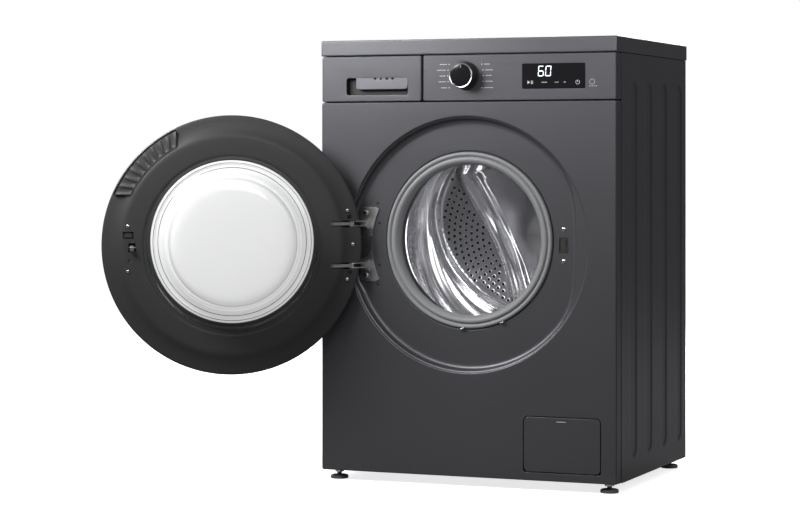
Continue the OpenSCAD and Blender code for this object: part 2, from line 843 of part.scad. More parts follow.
module door_glass() {
    swung()
        color("#d8dce0")
            turned([
                [0, glass_y + bowl_depth], [bowl_face_r - 10, glass_y + bowl_depth - 1],
                [bowl_face_r, glass_y + bowl_depth - 6], [bowl_face_r + 6, glass_y + bowl_depth - 18],
                [132, glass_y + 26], [136, glass_y + 12], [bowl_r - 9, glass_y + 3],
                [bowl_r, glass_y + 3], [bowl_r, glass_y - 3], [bowl_r - 12, glass_y - 3],
                [131, glass_y + 8], [127.5, glass_y + 24],
                [bowl_face_r + 1, glass_y + bowl_depth - 20],
                [bowl_face_r - 5, glass_y + bowl_depth - 9],
                [bowl_face_r - 12, glass_y + bowl_depth - glass_t - 1],
                [0, glass_y + bowl_depth - glass_t]
            ], bowl_z, 128);
}

arm_angle = 27;
arm_l = 43;
arm_plate_y = frame_face_y - 5;
module hinge_arms() {
    swung()
        color("silver") {
            for (z = pin_z)
                difference() {
                    union() {
                        translate([hinge_x, hinge_y, z - arm_t / 2]) cylinder(r = lug_r, h = arm_t);
                        translate([hinge_x, hinge_y, z])
                            rotate([0, 0, arm_angle])
                                block([0, arm_l], [-3.4, 3.4], [-arm_t / 2, arm_t / 2]);
                    }
                    translate([hinge_x, hinge_y, z - arm_t]) cylinder(r = pin_r + 0.15, h = 2 * arm_t);
                }
            // Plate that is screwed inside the door
            block([hinge_x + 40.5, hinge_x + 52], [arm_plate_y - 2.5, arm_plate_y],
                [pin_z[0] - 12, pin_z[1] + 12]);
            for (z = pin_z)
                block([hinge_x + 34, hinge_x + 41], [arm_plate_y - 9, arm_plate_y],
                    [z - arm_t / 2, z + arm_t / 2]);
        }
}

// Places of the screws in the door's inner face: x, depth, height
door_screw_xyz = [
    [latch_x + 8, frame_face_y, hook_z + 41], [latch_x + 8, frame_face_y, hook_z - 45],
    [-220, front_y + 2.6, door_z + 66], [-231, front_y + 1.4, door_z + 1],
    [-220, front_y + 2.6, door_z - 66]
];
module door_screws() {
    swung()
        color("silver")
            for (p = door_screw_xyz)
                translate([p[0], p[1], p[2]])
                    rotate([0, 0, 180]) screw_y(0, 0, 0, 3.2, 5);
}

module latch_hook() {
    swung()
        color("#9a9a9e")
            difference() {
                union() {
                    along_x(latch_x - 5, latch_x + 5, hook_pivot_y, hook_z, 5);
                    block([latch_x - 4, latch_x + 4], [hook_pivot_y, frame_face_y + 15],
                        [hook_z - 4, hook_z + 4]);
                    block([latch_x - 4, latch_x + 4], [frame_face_y + 9, frame_face_y + 15],
                        [hook_z - 7.5, hook_z - 3]);
                }
                along_x(latch_x - 6, latch_x + 6, hook_pivot_y, hook_z, 2.15);
            }
}

module latch_pin() {
    swung()
        color("silver")
            along_x(latch_x - 11.5, latch_x + 11.5, hook_pivot_y, hook_z, 2);
}

// Detergent drawer
module drawer_front() {
    color("#505055")
        difference() {
            union() {
                block([drawer_x0, drawer_x0 + drawer_w], [front_y, front_y + 3],
                    [drawer_z0, drawer_z0 + drawer_h]);
                block([drawer_x0, drawer_x0 + 2.5], [front_y, front_y + drawer_front_t],
                    [drawer_z0, drawer_z0 + drawer_h]);
                block([drawer_x0 + drawer_w - 2.5, drawer_x0 + drawer_w],
                    [front_y, front_y + drawer_front_t], [drawer_z0, drawer_z0 + drawer_h]);
                plate_y(front_y + eps, front_y + 15)
                    round_rect([grip_x[0] - 2, grip_x[1] + 2], [grip_z[0] - 2, grip_z[1] + 2], 6);
            }
            plate_y(front_y - 1, front_y + 13)
                difference() {
                    round_rect(grip_x, grip_z, 4);
                    translate([grip_x[0] + 20, grip_z[0] + 12])
                        square([grip_x[1] - grip_x[0], 40]);
                }
            plate_y(front_y + 7, front_y + 13)
                round_rect(grip_x, grip_z, 4);
        }
}

module drawer_box() {
    color("whitesmoke")
        difference() {
            block(box_x, [front_y + 15.2, box_y[1]], box_z);
            block([box_x[0] + 2, -200], [front_y + 19, box_y[1] - 2], [box_z[0] + 2, box_z[1] + 1]);
            block([-198, -150], [front_y + 19, box_y[1] - 2], [box_z[0] + 2, box_z[1] + 1]);
            block([-148, box_x[1] - 2], [front_y + 19, box_y[1] - 2], [box_z[0] + 2, box_z[1] + 1]);
        }
}

module siphon_cap() {
    color("royalblue")
        block([-147.6, box_x[1] - 2.4], [-60, -10], [box_z[0] + 34, box_z[0] + 37]);
}

// Knob with a grip ring and a short spindle
module program_knob() {
    color("#151517")
        translate([knob_x, front_y + 0.6, knob_z])
            rotate([90, 0, 0]) {
                rotate_extrude($fn = 96)
                    polygon([
                        [0, 0], [knob_r + 2.5, 0], [knob_r + 2, 2.5], [knob_r, 3.5],
                        [knob_r - 1, knob_depth - 2], [knob_r - 2.2, knob_depth],
                        [knob_r - 4.5, knob_depth - 0.5], [0, knob_depth - 1.5]
                    ]);
                translate([0, 0, -14]) cylinder(r = 6, h = 14 + eps);
            }
}

// Flap over the drain filter, hinged at its lower edge
flap_hinge_z = flap_z[0] + 3.5;
flap_hinge_y = front_y + 3;
flap_barrel_x = [flap_x[0] + 22, flap_x[1] - 34];
ear_r = 1.5;
peg_r = 0.8;
module filter_flap() {
    color("#3a3a3e") {
        difference() {
            plate_y(front_y, front_y + 2.4) flap_outline();
            // Thinned beside each barrel, where the panel's ears reach in
            for (x = flap_barrel_x, s = [0, 1])
                block([x - 3.2 + s * 15, x + 0.2 + s * 15], [front_y + 0.7, front_y + 3],
                    [flap_z[0] - 1, flap_hinge_z + 4]);
        }
        for (x = flap_barrel_x) {
            along_x(x + 0.1, x + 11.9, flap_hinge_y, flap_hinge_z, 2.2);
            along_x(x - 2.4, x + 14.4, flap_hinge_y, flap_hinge_z, peg_r);
        }
    }
}

module drain_filter() {
    color("#2f6fb0") {
        along_y(30, front_y + 22, front_y + 54, filter_x, filter_z);
        along_y(27, front_y + 16, front_y + 22 + eps, filter_x, filter_z);
        block([filter_x - 24, filter_x + 24], [front_y + 9, front_y + 22], [filter_z - 3, filter_z + 3]);
        for (a = [45 : 90 : 315])
            translate([filter_x, front_y + 54 - eps, filter_z])
                rotate([0, a, 0]) block([14, 20], [0, 44], [-3, 3]);
        ring_y(22, 13, front_y + 96, front_y + 102, filter_x, filter_z);
    }
}

// Tub halves, clamped at the split
module tub_front() {
    color("gainsboro")
        difference() {
            union() {
                turned([
                    [0, tub_front_y - 22], [neck_r, tub_front_y - 22], [neck_r, tub_front_y + 8],
                    [tub_r - 30, tub_front_y + 8], [tub_r, tub_front_y + 26],
                    [tub_r, tub_split_y - 4], [tub_r + 8, tub_split_y - 4],
                    [tub_r + 8, tub_split_y], [0, tub_split_y]
                ], drum_z, 128);
                // Sump spout
                translate([hose_x, hose_y, spout_z[0]]) cylinder(r = 14, h = spout_z[1] - spout_z[0]);
            }
            turned([
                [0, tub_front_y - 23], [neck_r - tub_t, tub_front_y - 23],
                [neck_r - tub_t, tub_front_y + 8 + tub_t], [tub_r - 31, tub_front_y + 8 + tub_t],
                [tub_r - tub_t, tub_front_y + 28], [tub_r - tub_t, tub_split_y + 1],
                [0, tub_split_y + 1]
            ], drum_z, 128);
            translate([hose_x, hose_y, spout_z[0] - 1]) cylinder(r = 11, h = 60);
        }
}

module tub_rear() {
    color("gainsboro")
        difference() {
            union() {
                turned([
                    [tub_r - tub_t, tub_split_y + 0.2], [tub_r + 8, tub_split_y + 0.2],
                    [tub_r + 8, tub_split_y + 4], [tub_r, tub_split_y + 4], [tub_r, tub_back_y - 8],
                    [tub_r - 12, tub_back_y + tub_t], [hub_r, tub_back_y + tub_t],
                    [hub_r, hub_y[1]], [bearing_or, hub_y[1]], [bearing_or, hub_y[0]],
                    [hub_r, hub_y[0]], [hub_r + 6, tub_back_y], [tub_r - 14, tub_back_y],
                    [tub_r - tub_t, tub_back_y - 9]
                ], drum_z, 128);
                // Ears for the springs
                for (s = [-1, 1])
                    translate([s * 210, spring_y, spring_z[0]])
                        block([-65, 65], [-13, 13], [-6, 0]);
                // Feet for the dampers
                for (x = [-damper_x, damper_x])
                    block([x - 10, x + 10], [tub_split_y + 4, 12], [damper_top_z, damper_top_z + 25]);
            }
            along_y(tub_r - tub_t, tub_split_y, tub_back_y - 9, 0, drum_z, $fn = 128);
        }
}

weight_r = [186, tub_r + 6];
module counterweights() {
    color("#8f8d88")
        difference() {
            ring_y(weight_r[1], weight_r[0], tub_front_y - 24, tub_front_y + 7, 0, drum_z, $fn = 128);
            block([-300, 300], [front_y, 0], [drum_z - 95, drum_z + 95]);
            block([60, 300], [front_y, 0], [100, 400]);
        }
}

module stator() {
    color("#b06a30") {
        difference() {
            along_y(118, stator_y, stator_y + 22, 0, drum_z, $fn = 128);
            along_y(hub_r + 0.1, stator_y - 1, stator_y + 23, 0, drum_z);
            for (a = [0 : 10 : 350])
                translate([0, stator_y - 1, drum_z])
                    rotate([0, a, 0]) block([84, 116], [0, 24], [-3, 3]);
        }
    }
}

module bearings() {
    color("silver") {
        for (y = [hub_y[0] + 0.5, hub_y[1] - 0.5 - bearing_w])
            ring_y(bearing_or - 0.05, shaft_r + 0.05, y, y + bearing_w, 0, drum_z);
    }
}

module heater() {
    color("silver") {
        for (x = [-38, 38])
            along_y(3, tub_front_y + 34, drum_back_y - 40, x, drum_z - drum_r - 6.5);
    }
}

module damper_rods() {
    color("silver")
        for (x = [-damper_x, damper_x])
            translate([x, 0, damper_z[0] + 30])
                cylinder(r = damper_rod_r, h = damper_top_z - damper_z[0] - 30);
}

// Drum
module drum_shell() {
    color("#c9cbce")
        ring_y(drum_r + drum_t, drum_r, drum_front_y + 12, drum_back_y - 14, 0, drum_z, $fn = 160);
}

module drum_front_ring() {
    color("#c9cbce")
        turned([
            [mouth_r, drum_front_y - 2], [mouth_r + 1, drum_front_y - 4],
            [mouth_r + 5, drum_front_y - 4], [mouth_r + 12, drum_front_y],
            [drum_r - 14, drum_front_y], [drum_r - 3, drum_front_y + 4],
            [drum_r - 0.1, drum_front_y + 11.8], [drum_r + drum_t, drum_front_y + 11.8],
            [drum_r - 2.2, drum_front_y + 3.2], [drum_r - 13.6, drum_front_y - 1],
            [mouth_r + 12.4, drum_front_y - 1], [mouth_r + 5, drum_front_y - 5],
            [mouth_r + 0.6, drum_front_y - 5], [mouth_r - 1, drum_front_y - 2.4]
        ], drum_z, 128);
}

module drum_back() {
    color("#c9cbce")
        turned([
            [0, drum_back_y - 12], [60, drum_back_y - 12], [90, drum_back_y - 2],
            [drum_r - 26, drum_back_y - 2], [drum_r - 8, drum_back_y - 6],
            [drum_r - 0.1, drum_back_y - 13.8], [drum_r + drum_t, drum_back_y - 13.8],
            [drum_r - 7, drum_back_y - 5], [drum_r - 25.6, drum_back_y - 1],
            [89.6, drum_back_y - 1], [59.6, drum_back_y - 11], [0, drum_back_y - 11]
        ], drum_z, 128);
}

lifter_h = 42;
module lifters() {
    color("#c4c6ca")
        intersection() {
            along_y(drum_r - 0.05, drum_front_y + 14, drum_back_y - 16, 0, drum_z, $fn = 128);
            for (a = [115, 235, 355])
                translate([0, drum_front_y + 20, drum_z])
                    rotate([-90, 0, 0])
                        rotate([0, 0, a])
                            linear_extrude(height = drum_back_y - drum_front_y - 44)
                                polygon([
                                    [drum_r + 2, -30], [drum_r + 2, 30], [drum_r - 12, 22],
                                    [drum_r - lifter_h, 9], [drum_r - lifter_h - 2, 0],
                                    [drum_r - lifter_h, -9], [drum_r - 12, -22]
                                ]);
        }
}

module spider() {
    color("#a5a6a8")
        difference() {
            union() {
                for (a = [90, 210, 330])
                    translate([0, drum_back_y, drum_z])
                        rotate([0, a, 0]) block([0, drum_r - 12], [0.2, 10], [-11, 11]);
                along_y(28, shaft_y[0], drum_back_y + 10, 0, drum_z);
            }
            along_y(shaft_r, shaft_y[0] - 1, drum_back_y + 11, 0, drum_z);
        }
}

module drum_shaft() {
    color("silver")
        along_y(shaft_r, shaft_y[0], shaft_y[1], 0, drum_z);
}

// Cup that carries the magnets outside the stator
module rotor() {
    web_y = [hub_y[1] + 3, hub_y[1] + 5];
    color("#7c7e82")
        difference() {
            union() {
                along_y(rotor_r, stator_y + 2, web_y[1], 0, drum_z, $fn = 128);
                along_y(24, web_y[0] - 2, web_y[1] + 9, 0, drum_z);
            }
            ring_y(rotor_r - 6, 26, stator_y + 1, web_y[0], 0, drum_z, $fn = 128);
            along_y(26 + eps, stator_y + 1, web_y[0] - 2, 0, drum_z);
            along_y(shaft_r, stator_y, web_y[1] + 10, 0, drum_z);
            for (a = [0 : 30 : 330])
                translate([0, web_y[0] - 1, drum_z])
                    rotate([0, a, 0]) block([50, 92], [0, 5], [-6, 6]);
        }
}

// Foot: ribbed pad, neck and threaded stud
module foot(x, y) {
    color("#7a7a7e")
        translate([x, y, 0]) {
            rotate_extrude($fn = 64)
                polygon([[0, 0], [foot_r - 1.5, 0], [foot_r, 1.5], [foot_r, 6.5], [foot_r - 3, 8],
                    [8, 8.5], [8, 10], [0, 10]]);
            translate([0, 0, 9]) cylinder(r = stud_r, h = 34);
        }
}

module foot_front_left() { foot(-foot_x, -foot_y); }
module foot_front_right() { foot(foot_x, -foot_y); }
module foot_rear_left() { foot(-foot_x, foot_y); }
module foot_rear_right() { foot(foot_x, foot_y); }

cabinet_wrap();
rear_panel();
rear_cover();
rear_screws();
base_pan();
front_panel();
top_plate();
control_panel();
display_window();
control_board();
dispenser_housing();
water_valve();
fill_hose();
damper_tubes();
door_lock();
front_screws();
hinge_bracket();
hinge_pins();
drain_pump();
drain_outlet();
sump_hose();
transit_caps();
cord_gland();
foot_lock_nuts();
gasket();
gasket_front_clamp();
gasket_rear_clamp();
suspension_springs();
door_frame();
door_cover();
door_window();
door_glass();
hinge_arms();
door_screws();
latch_hook();
latch_pin();
drawer_front();
drawer_box();
siphon_cap();
program_knob();
filter_flap();
drain_filter();
tub_front();
tub_rear();
counterweights();
stator();
bearings();
heater();
damper_rods();
drum_shell();
drum_front_ring();
drum_back();
lifters();
spider();
drum_shaft();
rotor();
foot_front_left();
foot_front_right();
foot_rear_left();
foot_rear_right();
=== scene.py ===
# Front load washing machine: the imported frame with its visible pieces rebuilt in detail.
import json
import math

import bpy
import bmesh
from mathutils import Matrix, Vector
from mathutils.geometry import tessellate_polygon


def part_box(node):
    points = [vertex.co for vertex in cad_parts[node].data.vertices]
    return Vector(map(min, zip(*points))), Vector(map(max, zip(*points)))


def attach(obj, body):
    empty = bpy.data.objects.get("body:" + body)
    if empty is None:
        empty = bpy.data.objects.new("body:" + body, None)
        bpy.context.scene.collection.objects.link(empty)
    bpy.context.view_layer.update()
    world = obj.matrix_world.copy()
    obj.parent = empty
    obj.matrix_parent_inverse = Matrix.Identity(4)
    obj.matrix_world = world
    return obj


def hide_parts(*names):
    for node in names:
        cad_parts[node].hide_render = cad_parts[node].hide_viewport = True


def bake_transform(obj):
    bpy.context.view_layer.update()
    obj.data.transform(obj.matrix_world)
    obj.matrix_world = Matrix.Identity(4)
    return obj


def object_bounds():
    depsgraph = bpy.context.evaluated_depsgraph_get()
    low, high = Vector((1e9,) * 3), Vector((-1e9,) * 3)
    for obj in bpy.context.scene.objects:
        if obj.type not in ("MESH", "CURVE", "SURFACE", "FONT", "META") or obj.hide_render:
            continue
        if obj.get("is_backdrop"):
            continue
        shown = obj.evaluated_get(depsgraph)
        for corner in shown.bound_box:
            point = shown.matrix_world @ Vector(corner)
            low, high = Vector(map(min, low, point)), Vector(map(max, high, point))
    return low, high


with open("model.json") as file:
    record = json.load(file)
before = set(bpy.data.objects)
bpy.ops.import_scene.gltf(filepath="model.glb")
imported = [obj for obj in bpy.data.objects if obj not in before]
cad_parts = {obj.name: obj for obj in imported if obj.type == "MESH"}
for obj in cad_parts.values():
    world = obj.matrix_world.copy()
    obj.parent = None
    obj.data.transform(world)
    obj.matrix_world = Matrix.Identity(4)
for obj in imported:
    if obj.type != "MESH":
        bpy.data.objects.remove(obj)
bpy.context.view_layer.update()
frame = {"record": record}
MM = 0.001

# ------------------------------------------------------------------ places, from the CAD
F = -230.0  # front plane
door_hinge = next(j for j in frame["record"]["behaviour"]["joints"] if j["name"] == "door_hinge")
HX, HY, DZ = [c * 1000 for c in door_hinge["pos_m"]]
SHAFT_R = 12.5
DRUM_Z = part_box("drum_shaft")[0].z * 1000 + SHAFT_R
DOOR_OPEN = 152  # degrees
SWING = (Matrix.Translation((HX * MM, HY * MM, 0)) @ Matrix.Rotation(math.radians(-DOOR_OPEN), 4, "Z")
         @ Matrix.Translation((-HX * MM, -HY * MM, 0)))


# ------------------------------------------------------------------ materials
def material(name):
    m = bpy.data.materials.new(name)
    m.use_nodes = True
    return m, m.node_tree.nodes, m.node_tree.links, m.node_tree.nodes["Principled BSDF"]


def finish_material(name, color, rough=0.4, metal=0.0, vary=0.12, grain=900.0, bump=0.05,
                    rough_vary=0.08, stretch=(1, 1, 1), **extra):
    """A surface with its own fine grain: colour, roughness and bump all vary with position."""
    m, n, l, b = material(name)
    co = n.new("ShaderNodeTexCoord")
    mp = n.new("ShaderNodeMapping")
    mp.inputs["Scale"].default_value = stretch
    l.new(co.outputs["Object"], mp.inputs["Vector"])
    fine = n.new("ShaderNodeTexNoise")
    fine.inputs["Scale"].default_value = grain
    fine.inputs["Detail"].default_value = 3
    l.new(mp.outputs["Vector"], fine.inputs["Vector"])
    broad = n.new("ShaderNodeTexNoise")
    broad.inputs["Scale"].default_value = 7.0
    broad.inputs["Detail"].default_value = 4
    l.new(co.outputs["Object"], broad.inputs["Vector"])
    mix = n.new("ShaderNodeMix")
    mix.data_type = "RGBA"
    mix.inputs["A"].default_value = [c * (1 - vary) for c in color] + [1]
    mix.inputs["B"].default_value = [min(1, c * (1 + vary)) for c in color] + [1]
    l.new(fine.outputs["Fac"], mix.inputs["Factor"])
    l.new(mix.outputs["Result"], b.inputs["Base Color"])
    rr = n.new("ShaderNodeMapRange")
    rr.inputs["To Min"].default_value = rough - rough_vary
    rr.inputs["To Max"].default_value = rough + rough_vary
    l.new(broad.outputs["Fac"], rr.inputs["Value"])
    l.new(rr.outputs["Result"], b.inputs["Roughness"])
    bp = n.new("ShaderNodeBump")
    bp.inputs["Strength"].default_value = bump
    bp.inputs["Distance"].default_value = 0.0005
    l.new(fine.outputs["Fac"], bp.inputs["Height"])
    l.new(bp.outputs["Normal"], b.inputs["Normal"])
    b.inputs["Metallic"].default_value = metal
    for key, value in extra.items():
        b.inputs[key.replace("_", " ")].default_value = value
    return m


PAINT = finish_material("paint_dark", (0.07, 0.07, 0.077), 0.38, 0.6, 0.22, 2600, 0.04, 0.03)
PAINT_TOP = finish_material("paint_top", (0.08, 0.08, 0.088), 0.36, 0.6, 0.22, 2600, 0.04, 0.03)
PAINT_BACK = finish_material("paint_back", (0.055, 0.055, 0.06), 0.45, 0.6, 0.2, 2000, 0.06, 0.05)
PLASTIC = finish_material("plastic_dark", (0.022, 0.022, 0.023), 0.5, 0.0, 0.15, 1500, 0.10, 0.05,
                          Specular_IOR_Level=0.22)
PLASTIC_IN = finish_material("plastic_black", (0.008, 0.008, 0.009), 0.5, 0.0, 0.15, 1500, 0.1, 0.05)
GLOSS = finish_material("gloss_black", (0.006, 0.006, 0.007), 0.12, 0.0, 0.1, 500, 0.01, 0.03)
TINT = finish_material("tinted_glass", (0.01, 0.01, 0.012), 0.06, 0.0, 0.1, 60, 0.004, 0.02)
RUBBER = finish_material("gasket_rubber", (0.165, 0.168, 0.172), 0.55, 0.0, 0.08, 1200, 0.08, 0.06)
BLACK_RUBBER_AND_GAP_SHADE = finish_material("black_rubber", (0.014, 0.014, 0.015), 0.6, 0.0, 0.2, 1200, 0.1, 0.05)
STEEL = finish_material("drum_steel", (0.8, 0.8, 0.82), 0.2, 1.0, 0.05, 300, 0.03, 0.06)
SATIN = finish_material("drum_satin", (0.36, 0.36, 0.375), 0.42, 0.7, 0.06, 500, 0.04, 0.06)
DENT = finish_material("dented_steel", (0.8, 0.8, 0.82), 0.16, 1.0, 0.08, 55, 0.55, 0.1)
CHROME = finish_material("chrome", (0.6, 0.6, 0.62), 0.22, 1.0, 0.04, 400, 0.01, 0.03)
ZINC = finish_material("zinc_plate", (0.6, 0.6, 0.6), 0.27, 1.0, 0.12, 700, 0.12, 0.08)
CAST = finish_material("cast_aluminium", (0.5, 0.5, 0.5), 0.5, 1.0, 0.15, 500, 0.4, 0.1)
CONCRETE = finish_material("concrete", (0.36, 0.35, 0.33), 0.85, 0.0, 0.3, 300, 0.7, 0.1)
WHITE = finish_material("white_plastic", (0.68, 0.68, 0.66), 0.4, 0.0, 0.05, 1200, 0.06, 0.06)
BLUE = finish_material("blue_plastic", (0.03, 0.13, 0.42), 0.35, 0.0, 0.1, 1200, 0.06, 0.06)
BOARD = finish_material("board_green", (0.015, 0.1, 0.04), 0.4, 0.0, 0.2, 600, 0.1, 0.1)
COPPER = finish_material("copper_winding", (0.55, 0.22, 0.1), 0.35, 0.9, 0.25, 500, 0.5, 0.1, (1, 8, 1))
PAD = finish_material("foot_pad", (0.16, 0.16, 0.165), 0.55, 0.0, 0.15, 900, 0.15, 0.06)
MARK = finish_material("print_grey", (0.42, 0.42, 0.43), 0.5, 0.0, 0.1, 900, 0.02, 0.05)
# Near-black for holes, recesses and openings: painted shade standing in for the darkness inside them.
HOLE_SHADE = finish_material("painted_hole_shade", (0.004, 0.004, 0.004), 0.6, 0.0, 0.2, 900, 0.05, 0.05)
GRIP = finish_material("grip_metal", (0.16, 0.16, 0.175), 0.3, 0.8, 0.15, 1500, 0.05, 0.04, (1, 1, 12))
# The bowl glass has a weak white emission: painted light that lifts it towards white, though it is no lamp.
BOWL_GLOW = finish_material("bowl_glass_painted_glow", (0.3, 0.302, 0.305), 0.14, 0.0, 0.02, 30, 0.006, 0.03,
                       Coat_Weight=0.5, IOR=1.5, Emission_Strength=0.42, Emission_Color=(1.0, 1.0, 1.0, 1.0))
LED = finish_material("digit_light", (0.8, 0.84, 0.88), 0.4, 0.0, 0.05, 900, 0.02, 0.05,
                      Emission_Strength=0.9, Emission_Color=(0.85, 0.9, 1.0, 1.0))


# ------------------------------------------------------------------ mesh building, in millimetres
class Shape:
    def __init__(self):
        self.v, self.f, self.m = [], [], []

    def loop(self, pts):
        start = len(self.v)
        self.v += [tuple(p) for p in pts]
        return list(range(start, len(self.v)))

    def face(self, ids, mat=0):
        self.f.append(tuple(ids))
        self.m.append(mat)

    def bridge(self, a, b, mat=0, closed=True):
        n = len(a)
        for i in range(n if closed else n - 1):
            j = (i + 1) % n
            self.face((a[i], a[j], b[j], b[i]), mat)

    def skin(self, loops, mat=0, closed=True):
        for a, b in zip(loops, loops[1:]):
            self.bridge(a, b, mat, closed)
        return loops

    def cap(self, outer, holes=(), mat=0):
        """Fills a flat loop (in x and z), leaving its holes open."""
        groups = [outer] + list(holes)
        ids = [i for g in groups for i in g]
        for tri in tessellate_polygon([[Vector((self.v[i][0], self.v[i][2], 0)) for i in g] for g in groups]):
            self.face([ids[k] for k in tri], mat)

    def turn(self, profile, z=0.0, x=0.0, seg=128, closed=False, mat=0):
        """Turns [radius, y] points about an axis along Y."""
        loops = []
        for r, y in profile:
            if r < 1e-6:
                loops.append(self.loop([(x, y, z)]))
            else:
                loops.append(self.loop([(x + r * math.cos(t), y, z + r * math.sin(t))
                                        for t in (2 * math.pi * i / seg for i in range(seg))]))
        for a, b in list(zip(loops, loops[1:])) + ([(loops[-1], loops[0])] if closed else []):
            if len(a) == 1 or len(b) == 1:
                tip, ring = (a[0], b) if len(a) == 1 else (b[0], a)
                for i in range(len(ring)):
                    self.face((tip, ring[i], ring[(i + 1) % len(ring)]), mat)
            else:
                self.bridge(a, b, mat)
        return loops

    def box(self, x, y, z, mat=0):
        p = [(a, b, c) for a in x for b in y for c in z]
        i = self.loop(p)
        for q in ((0, 1, 3, 2), (4, 6, 7, 5), (0, 4, 5, 1), (2, 3, 7, 6), (0, 2, 6, 4), (1, 5, 7, 3)):
            self.face([i[k] for k in q], mat)

    def make(self, name, mats, body, slot, replaces=(), swing=False, bevel=0.0, sharp=32,
             merge=True, flat_weight=True, segments=2, floats=None):
        """Turns the shape into a piece; floats, when given, leaves the piece in world space instead of under its
        body; the two places in it are not used.
        """
        me = bpy.data.meshes.new(name)
        me.from_pydata([(a * MM, b * MM, c * MM) for a, b, c in self.v], [], self.f)
        for mt in mats:
            me.materials.append(mt)
        me.polygons.foreach_set("material_index", self.m)
        bm = bmesh.new()
        bm.from_mesh(me)
        if merge:
            bmesh.ops.remove_doubles(bm, verts=bm.verts, dist=2e-6)
            bmesh.ops.dissolve_degenerate(bm, edges=bm.edges, dist=1e-6)
        bmesh.ops.recalc_face_normals(bm, faces=bm.faces)
        if swing:
            bm.transform(SWING)
        bm.to_mesh(me)
        bm.free()
        ob = bpy.data.objects.new(name, me)
        bpy.context.scene.collection.objects.link(ob)
        if bevel:
            md = ob.modifiers.new("Bevel", "BEVEL")
            md.width = bevel * MM
            md.segments = segments
            md.limit_method = "ANGLE"
            md.angle_limit = math.radians(40)
        smooth(ob, sharp, flat_weight)
        if floats:
            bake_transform(ob)
        else:
            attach(ob, body)
        if replaces:
            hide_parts(*replaces)
        return ob


def smooth(ob, sharp=32, weighted=True):
    ob.data.polygons.foreach_set("use_smooth", [True] * len(ob.data.polygons))
    ob.data.set_sharp_from_angle(angle=math.radians(sharp))
    if weighted:
        md = ob.modifiers.new("Normals", "WEIGHTED_NORMAL")
        md.keep_sharp = True
        md.weight = 80


def carve(ob, cutters, sharp=32):
    """Cuts closed shapes out of a piece and keeps the result as its mesh."""
    for c in cutters:
        me = bpy.data.meshes.new("cutter")
        me.from_pydata([(a * MM, b * MM, d * MM) for a, b, d in c.v], [], c.f)
        bm = bmesh.new()
        bm.from_mesh(me)
        bmesh.ops.remove_doubles(bm, verts=bm.verts, dist=2e-6)
        bmesh.ops.recalc_face_normals(bm, faces=bm.faces)
        bm.to_mesh(me)
        bm.free()
        co = bpy.data.objects.new("cutter", me)
        bpy.context.scene.collection.objects.link(co)
        md = ob.modifiers.new("Cut", "BOOLEAN")
        md.operation = "DIFFERENCE"
        md.solver = "EXACT"
        md.object = co
        dg = bpy.context.evaluated_depsgraph_get()
        new = bpy.data.meshes.new_from_object(ob.evaluated_get(dg))
        ob.modifiers.remove(md)
        ob.data = new
        bpy.data.objects.remove(co)
    smooth(ob, sharp, False)


def carve_closed(ob, cutters):
    """Carves a piece that was drawn on the closed door, then swings it open."""
    ob.parent = None
    carve(ob, cutters, 34)
    ob.data.transform(SWING)
    ob.data.update()


def rounded(x0, x1, z0, z1, r, seg=6):
    """A rounded rectangle's outline in x and z, anticlockwise, with the same count for any size."""
    pts = []
    for cx, cz, a in ((x1 - r, z0 + r, -90), (x1 - r, z1 - r, 0), (x0 + r, z1 - r, 90),
                      (x0 + r, z0 + r, 180)):
        for k in range(seg + 1):
            t = math.radians(a + 90 * k / seg)
            pts.append((cx + r * math.cos(t), cz + r * math.sin(t)))
    return pts


def at_y(pts, y):
    return [(x, y, z) for x, z in pts]


def panel(x, z, front, back, fillet, corner, holes=(), edge=(1, 1), s=None, steps=5):
    """A pressed tray: flat face with rounded edges and returns, open at the back."""
    s = s or Shape()
    loops = []
    for k in range(steps + 1):
        t = math.pi / 2 * k / steps
        inset = fillet * (1 - math.sin(t))
        y = front + fillet * (1 - math.cos(t))
        ix, iz = inset * edge[0], inset * edge[1]
        loops.append(s.loop(at_y(rounded(x[0] + ix, x[1] - ix, z[0] + iz, z[1] - iz,
                                         max(corner - inset * 0.6, 0.3)), y)))
    loops.append(s.loop(at_y(rounded(x[0], x[1], z[0], z[1], corner), back)))
    s.skin(loops)
    s.cap(loops[0], holes)
    return s, loops


def screw(s, x, y, z, r, mat=0, cross=1, out=1):
    """A pan head raised towards -Y (or +Y with out=-1); its cross recess is two thin dark boxes in the cross
    material, painted shade for the recess.
    """
    o = out
    s.turn([(r, y + 0.05 * o), (r, y - 0.7 * o), (r * 0.86, y - 1.5 * o), (r * 0.5, y - 2.0 * o),
            (0, y - 2.15 * o)],
           z, x, 24, mat=mat)
    # Cross recess: two thin dark boxes on the head, painted shade.
    for a in (0, 1):
        w, h = (r * 0.55, r * 0.13) if a else (r * 0.13, r * 0.55)
        s.box((x - w, x + w), sorted((y - 2.25 * o, y - 1.6 * o)), (z - h, z + h), cross)


# ------------------------------------------------------------------ camera, floor, light
sc = bpy.context.scene
cam = bpy.data.objects.new("camera", bpy.data.cameras.new("camera"))
sc.collection.objects.link(cam)
sc.camera = cam
cam.location = (1.6454, -4.5178, 0.6231)
cam.rotation_euler = (math.radians(90), 0, math.radians(22.54))
cam.data.sensor_width = 36
cam.data.lens = 109.12
cam.data.shift_y = -0.1343
cam.data.clip_end = 60

